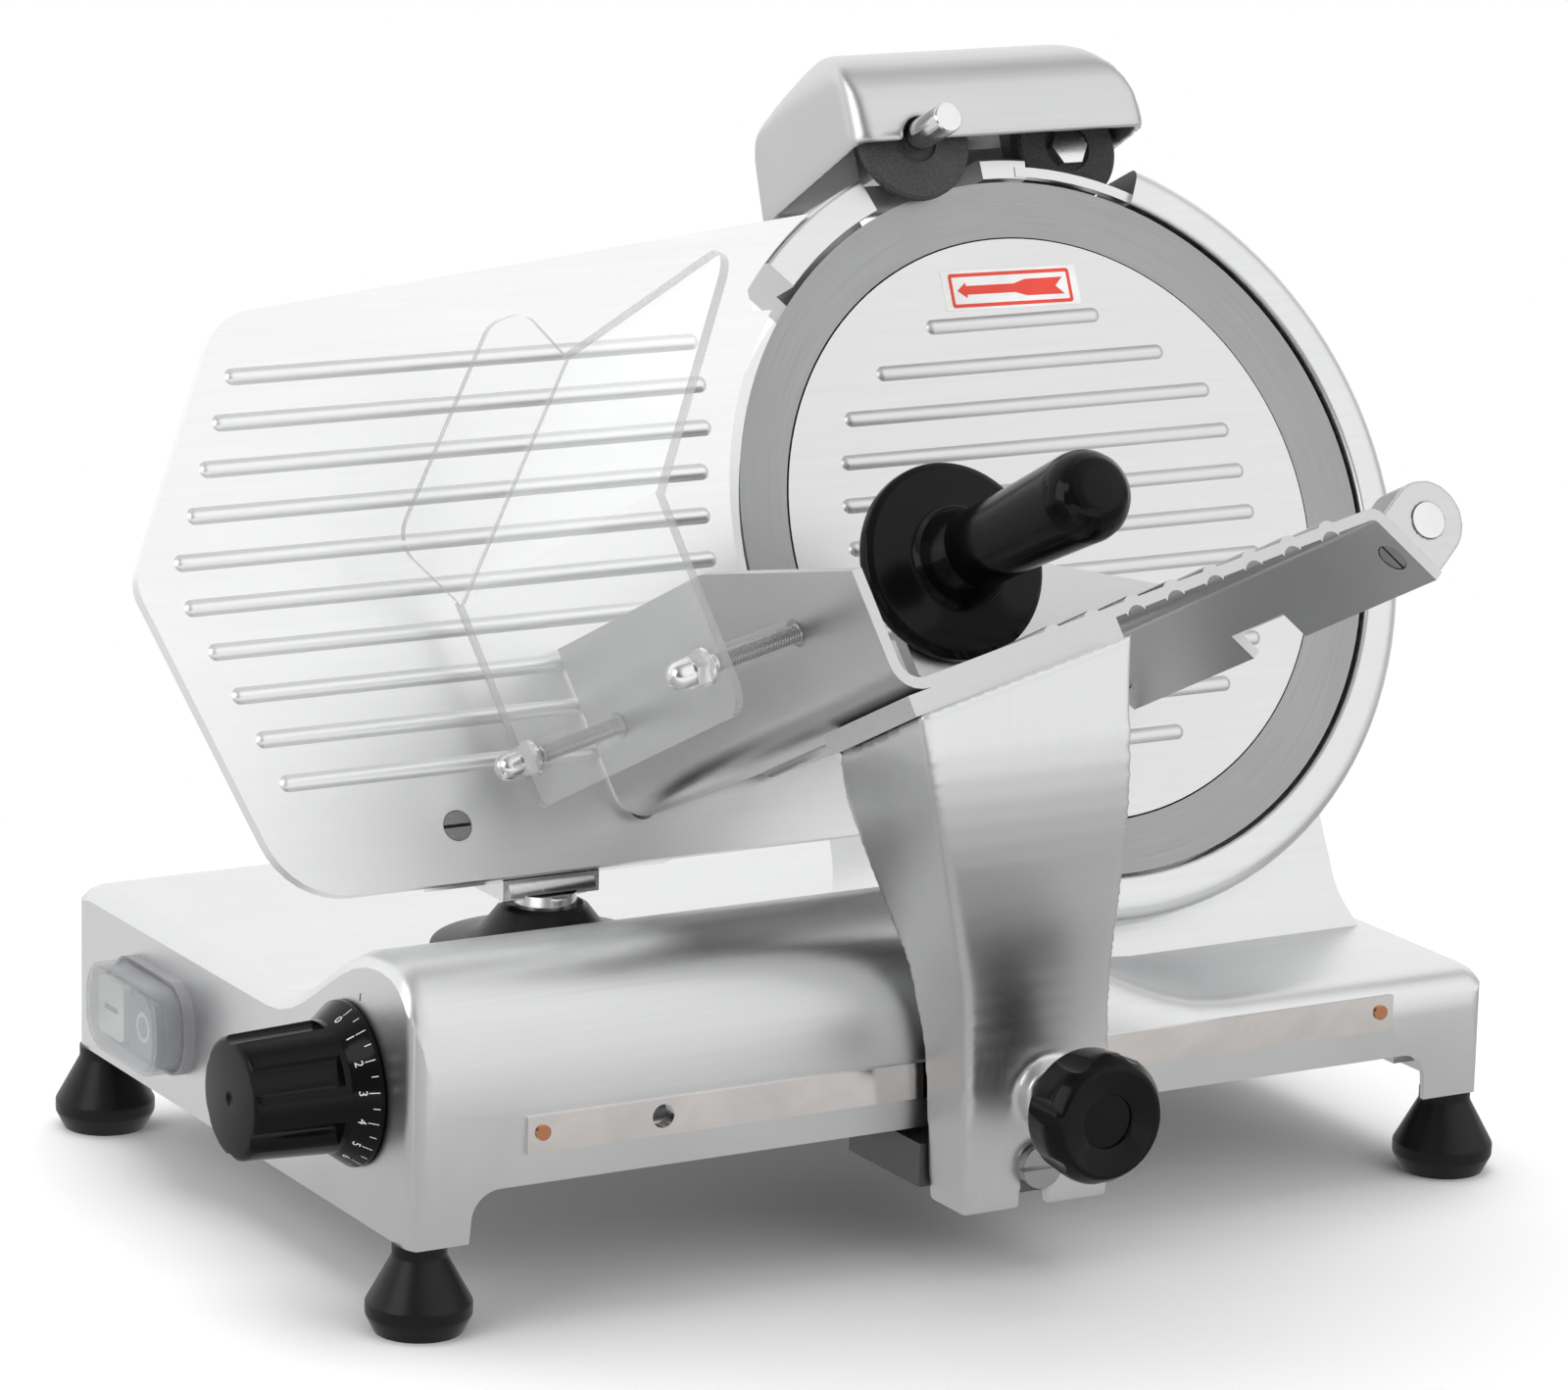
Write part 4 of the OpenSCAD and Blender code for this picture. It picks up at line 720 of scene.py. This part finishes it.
def on_dial(across, along, turn, lift=0.00004):
    """Points on the dial's cone: down the slope from its rim, and round it from the turn."""
    slope = DIAL_NECK - DIAL_RIM
    slope = slope / np.linalg.norm(slope)
    out = np.array([slope[1], -slope[0]])
    radius, height = (DIAL_RIM + np.outer(along, slope) + lift * out).T
    turn = turn + np.asarray(across) / radius
    return DIAL_MIDDLE + np.c_[-height, -radius * np.sin(turn), radius * np.cos(turn)]


def placed(right, up, back, place):
    """Matrix with these axes and this place."""
    matrix = np.eye(4)
    matrix[:3] = np.c_[right, up, back, place]
    return Matrix(matrix.tolist())


def facing(target, place):
    """Matrix of a lamp at a place, turned to its target with its sides level."""
    back = np.array(place) - np.array(target)
    back = back / np.linalg.norm(back)
    right = np.cross((0.0, 0.0, 1.0), back)
    right = right / np.linalg.norm(right)
    return placed(right, np.cross(back, right), back, place)


# pieces


class Piece:
    """What the operators share."""

    bl_options = {"REGISTER", "UNDO"}


class SLICER_OT_castings(Piece, bpy.types.Operator):
    """Satin castings: base, rod supports, arm, lugs, column, sharpener cap and rear cover; the arm
    and the lugs are darkened as painted shade
    """

    bl_idname = "slicer.castings"
    bl_label = "Castings"

    def execute(self, context):
        # finish, tone, roughness, turn of the brushing, nodes
        for name, tone, rough, turn, nodes in (
                ("Cast base", 1.0, 0.36, ALONG, ("base_housing", "rod_supports")),
                # the arm's tone of 0.22 is painted shade, for the shadow it lies in behind the
                # column
                ("Cast arm", 0.22, 0.45, ALONG, ("carriage_arm",)),
                # the lugs' tone of 0.86 is painted shade, dimming the bright reflection in their
                # front faces
                ("Cast lugs", 0.86, 0.36, ALONG, ("rod_blocks",)),
                ("Cast column", 1.0, 0.36, UPRIGHT, ("column",)),
                ("Cast cap", 0.84, 0.33, ROLLED, ("sharpener_cap", "rear_cover"))):
            dress(satin_metal(name, shade(colours().cast, tone), rough, turn), *nodes)
        return {"FINISHED"}


class SLICER_OT_sheets(Piece, bpy.types.Operator):
    """Brushed sheet: the gauge plate, the blade cover, the tray and the pusher plate; the gauge
    plate is lightened as painted light, the tray and the pusher plate darkened as painted shade
    """

    bl_idname = "slicer.sheets"
    bl_label = "Sheet metal"

    def execute(self, context):
        # finish, tone, roughness, turn of the brushing, its fineness, nodes
        for name, tone, rough, turn, fineness, nodes in (
                # the plate's tone of 1.22 is painted light, making it brighter than the cover of
                # the same sheet
                ("Brushed plate", 1.22, 0.40, ALONG, 1100.0, ("gauge_plate",)),
                ("Brushed cover", 1.0, 0.40, ALONG, 1100.0, ("blade_cover",)),
                # the tone of 0.80 is painted shade, dimming the glare on the tray's lip and wall
                # and on the pusher plate
                ("Brushed tray", 0.80, 0.32, ACROSS, 700.0, ("tray", "pusher_plate"))):
            metal = satin_metal(name, shade(colours().sheet, tone), rough, turn, fineness)
            dress(metal, *nodes)
        return {"FINISHED"}


class SLICER_OT_blade(Piece, bpy.types.Operator):
    """Ground steel of the blade, its hub, its pulley and the bearings"""

    bl_idname = "slicer.blade"
    bl_label = "Blade"

    def execute(self, context):
        steel = turned_metal("Ground steel", colours().steel, 0.42, BLADE_MIDDLE, BLADE_TURN)
        dress(steel, "blade", "blade_hub", "blade_pulley", "bearings")
        return {"FINISHED"}


class SLICER_OT_bright(Piece, bpy.types.Operator):
    """Polished metal: wear strip, rods, pins, screws and nuts, copper rivets, bronze bushes"""

    bl_idname = "slicer.bright"
    bl_label = "Bright parts"

    def execute(self, context):
        c = colours()
        rods = ("slide_rod", "guide_bar", "gauge_rod", "gauge_post", "gauge_slide", "pusher_rod",
                "pusher_sleeve", "tie_rod", "dial_shaft", "front_pin", "rear_pin", "guard_bolts")
        screws = ("gauge_screws", "pivot_screw", "block_screws", "cover_screws", "foot_screws",
                  "blade_screws", "sharpener_body", "motor_pulley", "bottom_plate")
        # finish, colour, tone, roughness, nodes
        for name, base, tone, rough, nodes in (
                ("Mirror strip", c.strip, 1.0, 0.10, ("wear_strip",)),
                ("Bright steel", c.bright, 1.0, 0.16, rods),
                ("Screw steel", c.bright, 0.55, 0.24, screws),
                ("Copper", c.copper, 1.0, 0.22, ("strip_rivets",)),
                ("Bronze", c.bronze, 1.0, 0.30, ("slide_bushes",))):
            dress(bright_metal(name, shade(base, tone), rough), *nodes)
        return {"FINISHED"}


class SLICER_OT_black(Piece, bpy.types.Operator):
    """Gloss black mouldings and rubber"""

    bl_idname = "slicer.black"
    bl_label = "Black parts"

    def execute(self, context):
        c = colours()
        gloss = moulded("Gloss black", c.black, rough=0.13, grain_scale=300.0, strength=0.015,
                        Specular_IOR_Level=0.16)
        dress(gloss, "dial_knob", "pusher_handle", "lock_knob", "tie_knob", "sharpener_lock",
              "guide_roller", "cable_gland")
        rubber = moulded("Rubber", c.rubber, rough=0.34, grain_scale=1600.0, strength=0.06,
                         Specular_IOR_Level=0.25)
        dress(rubber, "feet", "gauge_seal", "drive_belt")
        return {"FINISHED"}


class SLICER_OT_clear(Piece, bpy.types.Operator):
    """Clear guard with painted shade along its rim, clear spacers and frosted switch cover"""

    bl_idname = "slicer.clear"
    bl_label = "Clear parts"

    def execute(self, context):
        c = colours()
        dress(see_through("Clear plastic", c.clear, painted_sheen=0.32), "clear_guard")
        dress(see_through("Clear spacer", shade(c.clear, 0.7), painted_sheen=0.14), "guard_spacers")
        # painted shade: a grey see-through skin on the guard's rim stands in for the grey lines
        # that refraction shows along the edges of clear plastic
        edge = moulded("Guard edge", shade(c.clear, 0.36), rough=0.12, grain_scale=600.0,
                       strength=0.02, Alpha=0.55)
        points, faces = rim_of("clear_guard", lift=0.00002)
        mesh_piece("guard_edge", points, faces, edge, "carriage", "clear", smooth=True)
        frosted = moulded("Frosted plastic", c.frost, rough=0.32, grain_scale=900.0,
                          strength=0.02, Alpha=0.34)
        dress(frosted, "switch_cover")
        return {"FINISHED"}


class SLICER_OT_switch(Piece, bpy.types.Operator):
    """Switch frame and its two buttons"""

    bl_idname = "slicer.switch"
    bl_label = "Switch"

    def execute(self, context):
        c = colours()
        # finish, colour, roughness, strength of the grain, node
        for name, base, rough, strength, node in (
                ("White plastic", c.white, 0.35, 0.04, "on_button"),
                ("Grey plastic", c.grey, 0.38, 0.04, "off_button"),
                ("Switch plastic", c.switch, 0.40, 0.05, "switch_body")):
            dress(moulded(name, base, rough, grain_scale=1200.0, strength=strength), node)
        return {"FINISHED"}


class SLICER_OT_hidden(Piece, bpy.types.Operator):
    """Stones, motor and capacitor"""

    bl_idname = "slicer.hidden"
    bl_label = "Stones and drive"

    def execute(self, context):
        c = colours()
        dress(grit("Grit", c.stone), "front_stone", "rear_stone")
        paint = moulded("Motor paint", c.motor, rough=0.42, grain_scale=500.0, strength=0.15)
        dress(paint, "motor")
        can = moulded("Capacitor can", c.white, rough=0.30, grain_scale=700.0, strength=0.05)
        dress(can, "capacitor")
        return {"FINISHED"}


class SLICER_OT_edges(Piece, bpy.types.Operator):
    """Smooth shading of every solid, softened edges, and three castings rounded all over"""

    bl_idname = "slicer.edges"
    bl_label = "Soft edges"

    def execute(self, context):
        s = sizes()
        castings = {"base_housing"}
        sheets = {"tray", "gauge_plate", "clear_guard", "pusher_plate", "on_button", "off_button",
                  "switch_cover", "dial_knob", "lock_knob"}
        soften(s.casting_edge, *castings)
        soften(s.sheet_edge, *sheets)
        soften(0.0, *(set(NODES) - castings - sheets))
        round_over("sharpener_cap", s.casting_grain, passes=36)
        round_over("column", s.casting_grain, passes=14)
        round_over("rod_blocks", s.lug_grain, passes=6)
        return {"FINISHED"}


class SLICER_OT_dial_marks(Piece, bpy.types.Operator):
    """Ticks and numbers round the dial's cone, and the mark on the base they are read against"""

    bl_idname = "slicer.dial_marks"
    bl_label = "Dial marks"

    def execute(self, context):
        c = colours()
        white = moulded("White ink", c.white, rough=0.45, grain_scale=900.0, strength=0.03)
        parts = []
        for half in range(2 * SLICE_MAX + 1):
            parts += self.mark(half)
        mesh_piece("dial_marks", *gather(parts), white, "dial", "white")
        black = moulded("Black ink", c.black, rough=0.5, grain_scale=900.0, strength=0.03)
        mesh_piece("dial_index", *self.index(), black, "base", "black")
        return {"FINISHED"}

    def mark(self, half):
        """The tick of a half millimetre, long and with a number below it at whole ones."""
        s = sizes()
        turn = math.radians(DIAL_ZERO + DIAL_STEP * half / 2)
        length = s.tick_short if half % 2 else s.tick_long
        across = s.tick_width / 2 * np.array([-1, 1, 1, -1])
        along = s.tick_inset + length * np.array([1, 1, 0, 0])
        parts = [(on_dial(across, along, turn), [[0, 1, 2, 3]])]
        if half % 2 == 0:
            flat, faces = lettering(str(half // 2), s.digit_height)
            middle = s.tick_inset + s.tick_long + s.digit_gap + s.digit_height / 2
            parts.append((on_dial(flat[:, 0], middle - flat[:, 1], turn), faces))
        return parts

    def index(self):
        """A short upright bar on the wall above the dial, turned to the dial's zero."""
        s = sizes()
        outline = rounded_box(s.index_width, s.index_height, radius=0.0002, steps=3)
        points, faces = prism(outline, low=0.0, high=0.00006)
        turn = math.radians(DIAL_ZERO)
        up = np.array([0.0, -math.sin(turn), math.cos(turn)])
        right = np.array([0.0, -math.cos(turn), -math.sin(turn)])
        axes = np.stack([right, up, LEFT_WALL[2]])
        return DIAL_MIDDLE + s.index_radius * up + points @ axes, faces


class SLICER_OT_sticker(Piece, bpy.types.Operator):
    """Paper sticker on the blade cover with a framed arrow for the blade's way round"""

    bl_idname = "slicer.sticker"
    bl_label = "Arrow sticker"

    def execute(self, context):
        s, c = sizes(), colours()
        outline = rounded_box(s.sticker_width, s.sticker_height, radius=0.0008)
        points, faces = prism(outline, PAPER_LOW, PAPER_TOP)
        paper = moulded("Sticker paper", shade(c.white, 1.05), rough=0.30, grain_scale=1500.0,
                        strength=0.02)
        mesh_piece("sticker_paper", self.laid(points), faces, paper, "base", "white")
        inner = (s.border_width - 2 * s.border_line, s.border_height - 2 * s.border_line)
        border = band(rounded_box(s.border_width, s.border_height, radius=0.0012),
                      rounded_box(*inner, radius=0.0004), PAPER_TOP, INK_TOP)
        arrow = np.concatenate([ARROW_HALF, ARROW_HALF[-2:0:-1] * (1, -1)])
        points, faces = gather([border, prism(arrow[::-1], PAPER_TOP, INK_TOP)])
        red = moulded("Red ink", c.red, rough=0.32, grain_scale=1500.0, strength=0.02)
        mesh_piece("sticker_arrow", self.laid(points), faces, red, "base", "copper")
        return {"FINISHED"}

    def laid(self, points):
        """Points of the flat sticker, tilted and laid on the blade cover's face."""
        c, s = math.cos(STICKER_TILT), math.sin(STICKER_TILT)
        flat = STICKER_MIDDLE + points[:, :2] @ np.array([[c, s], [-s, c]])
        return on_blade(np.c_[flat, COVER_FACE + points[:, 2]])


class SLICER_OT_symbols(Piece, bpy.types.Operator):
    """Inlaid bar of the start button and inlaid ring of the stop button"""

    bl_idname = "slicer.symbols"
    bl_label = "Button symbols"

    def execute(self, context):
        s, c = sizes(), colours()
        bar = prism(rounded_box(s.bar_width, s.bar_height, radius=0.0003, steps=3),
                    0.0, s.inlay_height)
        grey = moulded("Symbol grey", c.switch, rough=0.4, grain_scale=1200.0, strength=0.03)
        self.inlay("start_bar", bar, grey, "on_button", "grey")
        loop = band(ring(s.ring_outer), ring(s.ring_inner), 0.0, s.inlay_height)
        white = moulded("Symbol white", c.white, rough=0.4, grain_scale=1200.0, strength=0.03)
        self.inlay("stop_ring", loop, white, "off_button", "white")
        return {"FINISHED"}

    def inlay(self, name, shape, material, button, slot):
        """Sets a flat shape into the middle of a button's front."""
        points, faces = shape
        low, high = box_of(mesh_points(NODES[button].data))
        place = (low + high) / 2
        place[0] = low[0] + sizes().inlay_depth
        mesh_piece(name, place + points @ LEFT_WALL, faces, material, button, slot)


class SLICER_OT_slots(Piece, bpy.types.Operator):
    """Painted shade: dark floors in the slots of the gauge plate's screws"""

    bl_idname = "slicer.slots"
    bl_label = "Screw slots"

    def execute(self, context):
        points = (mesh_points(NODES["gauge_screws"].data) - BLADE_MIDDLE) @ BLADE_AXES.T
        right = points[:, 0] > points[:, 0].mean()
        parts = [self.floor(*box_of(screw)) for screw in (points[right], points[~right])]
        # painted shade: a near-black bar in the rubber's colour on each slot's floor darkens the
        # recess where shade falls
        painted_slot_shade = moulded("Slot grime", colours().rubber, rough=0.6, grain_scale=900.0,
                        strength=0.05)
        mesh_piece("screw_slots", *gather(parts), painted_slot_shade, "gauge", "black")
        return {"FINISHED"}

    def floor(self, low, high):
        """A thin dark bar of painted shade, nearly as long as a screw's head is wide, at the
        slot's depth below it.
        """
        s = sizes()
        head_share = 0.96
        length = head_share * (high[0] - low[0])
        outline = rounded_box(length, s.slot_width, radius=0.0001, steps=2)
        points, faces = prism(outline, low=0.0, high=0.0001)
        place = (low + high) / 2
        place[2] = high[2] - s.slot_depth
        return on_blade(place + points), faces


class SLICER_OT_threads(Piece, bpy.types.Operator):
    """Screw thread of the guard studs inside their clear spacers"""

    bl_idname = "slicer.threads"
    bl_label = "Stud threads"

    def execute(self, context):
        parts = [self.thread(off, up) for off, up in STUDS]
        steel = bright_metal("Thread steel", shade(colours().bright, 0.42), rough=0.22)
        mesh_piece("stud_threads", *gather(parts), steel, "carriage", "steel", smooth=True)
        return {"FINISHED"}

    def thread(self, off, up):
        """A tube whose radius swings from root to crest and back with its height less its turn.

        The height is counted in pitches and the turn in whole turns, so the crest is a helix.
        """
        s = sizes()
        rows_a_pitch, columns = 5, 24
        rows = int(s.thread_length / s.thread_pitch * rows_a_pitch)
        heights = np.linspace(s.thread_start, s.thread_start + s.thread_length, rows)
        turns = np.linspace(0, 2 * math.pi, columns, endpoint=False)
        height, turn = (grid.ravel() for grid in np.meshgrid(heights, turns, indexing="ij"))
        phase = (height / s.thread_pitch - turn / (2 * math.pi)) % 1.0
        radius = s.thread_root + s.thread_depth * (1 - np.abs(2 * phase - 1))
        points = on_tray(-height, up + radius * np.cos(turn), off + radius * np.sin(turn))
        last = (rows - 1) * columns
        ends = [list(range(columns))[::-1], list(range(last, last + columns))]
        return points, grid_faces(rows, columns, round_columns=True) + ends


class SLICER_OT_stage(Piece, bpy.types.Operator):
    """Pale floor, soft lamps, room and camera"""

    bl_idname = "slicer.stage"
    bl_label = "Studio"

    def execute(self, context):
        studio = context.scene.slicer_studio
        context.scene.view_settings.view_transform = "Standard"
        self.floor(context, studio)
        self.room(context, studio)
        for name, power, *rest in LAMPS:
            self.lamp(context, name, getattr(studio, power), *rest)
        self.camera(context, studio)
        return {"FINISHED"}

    def floor(self, context, studio):
        """A flat square about the origin."""
        corners = FLOOR_HALF * np.array([(-1, -1, 0), (1, -1, 0), (1, 1, 0), (-1, 1, 0)])
        mesh = bpy.data.meshes.new("floor")
        mesh.from_pydata(corners.tolist(), [], [[0, 1, 2, 3]])
        mesh.materials.append(self.floor_finish(studio))
        floor = bpy.data.objects.new("floor", mesh)
        context.scene.collection.objects.link(floor)

    def floor_finish(self, studio):
        """Matt near the slicer and plain white further out, and a glow of its own in the metals.

        The glow is strong far in front, falls towards the slicer and rises again behind it.
        """
        material = bpy.data.materials.new("Studio floor")
        material.use_nodes = True
        material.node_tree.nodes.clear()
        w = Wiring(material.node_tree)
        place = w.add("ShaderNodeTexCoord").outputs["Object"]
        x, y, _ = w.split(place)
        outer = w.spread(w.vector("LENGTH", w.combine(x, y)), low=0.22, high=0.58)
        path = w.add("ShaderNodeLightPath").outputs
        clean = w.maths("MAXIMUM", path["Is Camera Ray"], path["Is Transmission Ray"])
        seen = w.maths("MAXIMUM", w.maths("MULTIPLY", clean, outer), path["Is Glossy Ray"])
        before = w.spread(y, low=-0.62, high=-0.2, to_low=1.1, to_high=studio.near_floor)
        behind = w.spread(y, low=-0.1, high=0.2, to_high=0.8)
        glow = w.maths("MAXIMUM", clean, w.maths("MAXIMUM", before, behind))
        matt = w.add("ShaderNodeBsdfDiffuse", {"Color": (*colours().floor, 1.0)}).outputs[0]
        white = w.add("ShaderNodeEmission", {"Color": WHITE, "Strength": glow}).outputs[0]
        mixed = w.add("ShaderNodeMixShader", {0: seen, 1: matt, 2: white}).outputs[0]
        w.add("ShaderNodeOutputMaterial", {"Surface": mixed})
        return material

    def room(self, context, studio):
        """White backdrop, a faint ceiling and a soft panel at the front right of a dim room."""
        world = bpy.data.worlds.new("Studio room")
        world.use_nodes = True
        world.node_tree.nodes.clear()
        context.scene.world = world
        w = Wiring(world.node_tree)
        ray = w.add("ShaderNodeTexCoord").outputs["Generated"]
        _, deep, up = w.split(ray)
        panel = w.spread(w.vector("DOT_PRODUCT", ray, PANEL_WAY), low=0.50, high=0.94)
        ceiling = w.spread(up, low=0.35, high=0.95, to_high=0.28)
        back = w.spread(deep, low=-0.1, high=0.5)
        lit = w.maths("MAXIMUM", panel, w.maths("MAXIMUM", ceiling, back))
        path = w.add("ShaderNodeLightPath").outputs
        clean = w.maths("MAXIMUM", path["Is Camera Ray"], path["Is Transmission Ray"])
        level = w.spread(lit, low=0.0, high=1.0, to_low=studio.room, to_high=studio.panel)
        strength = w.maths("MAXIMUM", level, clean)
        shine = w.add("ShaderNodeBackground", {"Color": WHITE, "Strength": strength})
        w.add("ShaderNodeOutputWorld", {"Surface": shine.outputs[0]})

    def lamp(self, context, name, power, spread, place, target, mirrored):
        """A soft rectangle of light turned to its target, and shown in the metals if mirrored."""
        light = bpy.data.lights.new(name, "AREA")
        light.energy = power
        light.shape = "RECTANGLE"
        light.size, light.size_y = spread
        lamp = bpy.data.objects.new(name, light)
        context.scene.collection.objects.link(lamp)
        lamp.matrix_world = facing(target, place)
        lamp.visible_glossy = mirrored

    def camera(self, context, studio):
        """Camera back from the aim along its azimuth and elevation, rolled about that line."""
        a, e, r = studio.azimuth, studio.elevation, studio.roll
        back = np.array([math.sin(a) * math.cos(e), -math.cos(a) * math.cos(e), math.sin(e)])
        level = np.array([math.cos(a), math.sin(a), 0.0])
        upright = np.cross(back, level)
        right = math.cos(r) * level + math.sin(r) * upright
        up = math.cos(r) * upright - math.sin(r) * level
        lens = bpy.data.cameras.new("Photo camera")
        lens.lens = studio.lens
        lens.sensor_width = studio.sensor
        lens.sensor_fit = "HORIZONTAL"
        lens.clip_end = studio.depth
        camera = bpy.data.objects.new("Photo camera", lens)
        context.scene.collection.objects.link(camera)
        place = np.array(studio.aim) + back * studio.distance
        camera.matrix_world = placed(right, up, back, place)
        context.scene.camera = camera


OPERATORS = (
    SLICER_OT_castings, SLICER_OT_sheets, SLICER_OT_blade, SLICER_OT_bright, SLICER_OT_black,
    SLICER_OT_clear, SLICER_OT_switch, SLICER_OT_hidden, SLICER_OT_edges, SLICER_OT_dial_marks,
    SLICER_OT_sticker, SLICER_OT_symbols, SLICER_OT_slots, SLICER_OT_threads, SLICER_OT_stage,
)
GROUPS = {
    "slicer_sizes": SlicerSizes,
    "slicer_colours": SlicerColours,
    "slicer_studio": SlicerStudio,
}


class SLICER_PT_panel(bpy.types.Panel):
    """Lists the slicer's pieces, sizes, colours and studio"""

    bl_idname = "SLICER_PT_panel"
    bl_label = "Food slicer"
    bl_space_type = "VIEW_3D"
    bl_region_type = "UI"
    bl_category = "Slicer"

    def draw(self, context):
        for operator in OPERATORS:
            self.layout.operator(operator.bl_idname)
        for name, group in GROUPS.items():
            for key in group.__annotations__:
                self.layout.prop(getattr(context.scene, name), key)


CLASSES = (*GROUPS.values(), *OPERATORS, SLICER_PT_panel)


def register():
    """Registers the classes and gives each scene its properties."""
    for cls in CLASSES:
        bpy.utils.register_class(cls)
    for name, group in GROUPS.items():
        setattr(bpy.types.Scene, name, PointerProperty(type=group))


def unregister():
    """Takes back what register did."""
    for name in GROUPS:
        delattr(bpy.types.Scene, name)
    for cls in reversed(CLASSES):
        bpy.utils.unregister_class(cls)


def main():
    """Makes every piece in order."""
    register()
    for operator in OPERATORS:
        getattr(bpy.ops.slicer, operator.bl_idname.split(".")[1])()


if __name__ == "__main__":
    main()
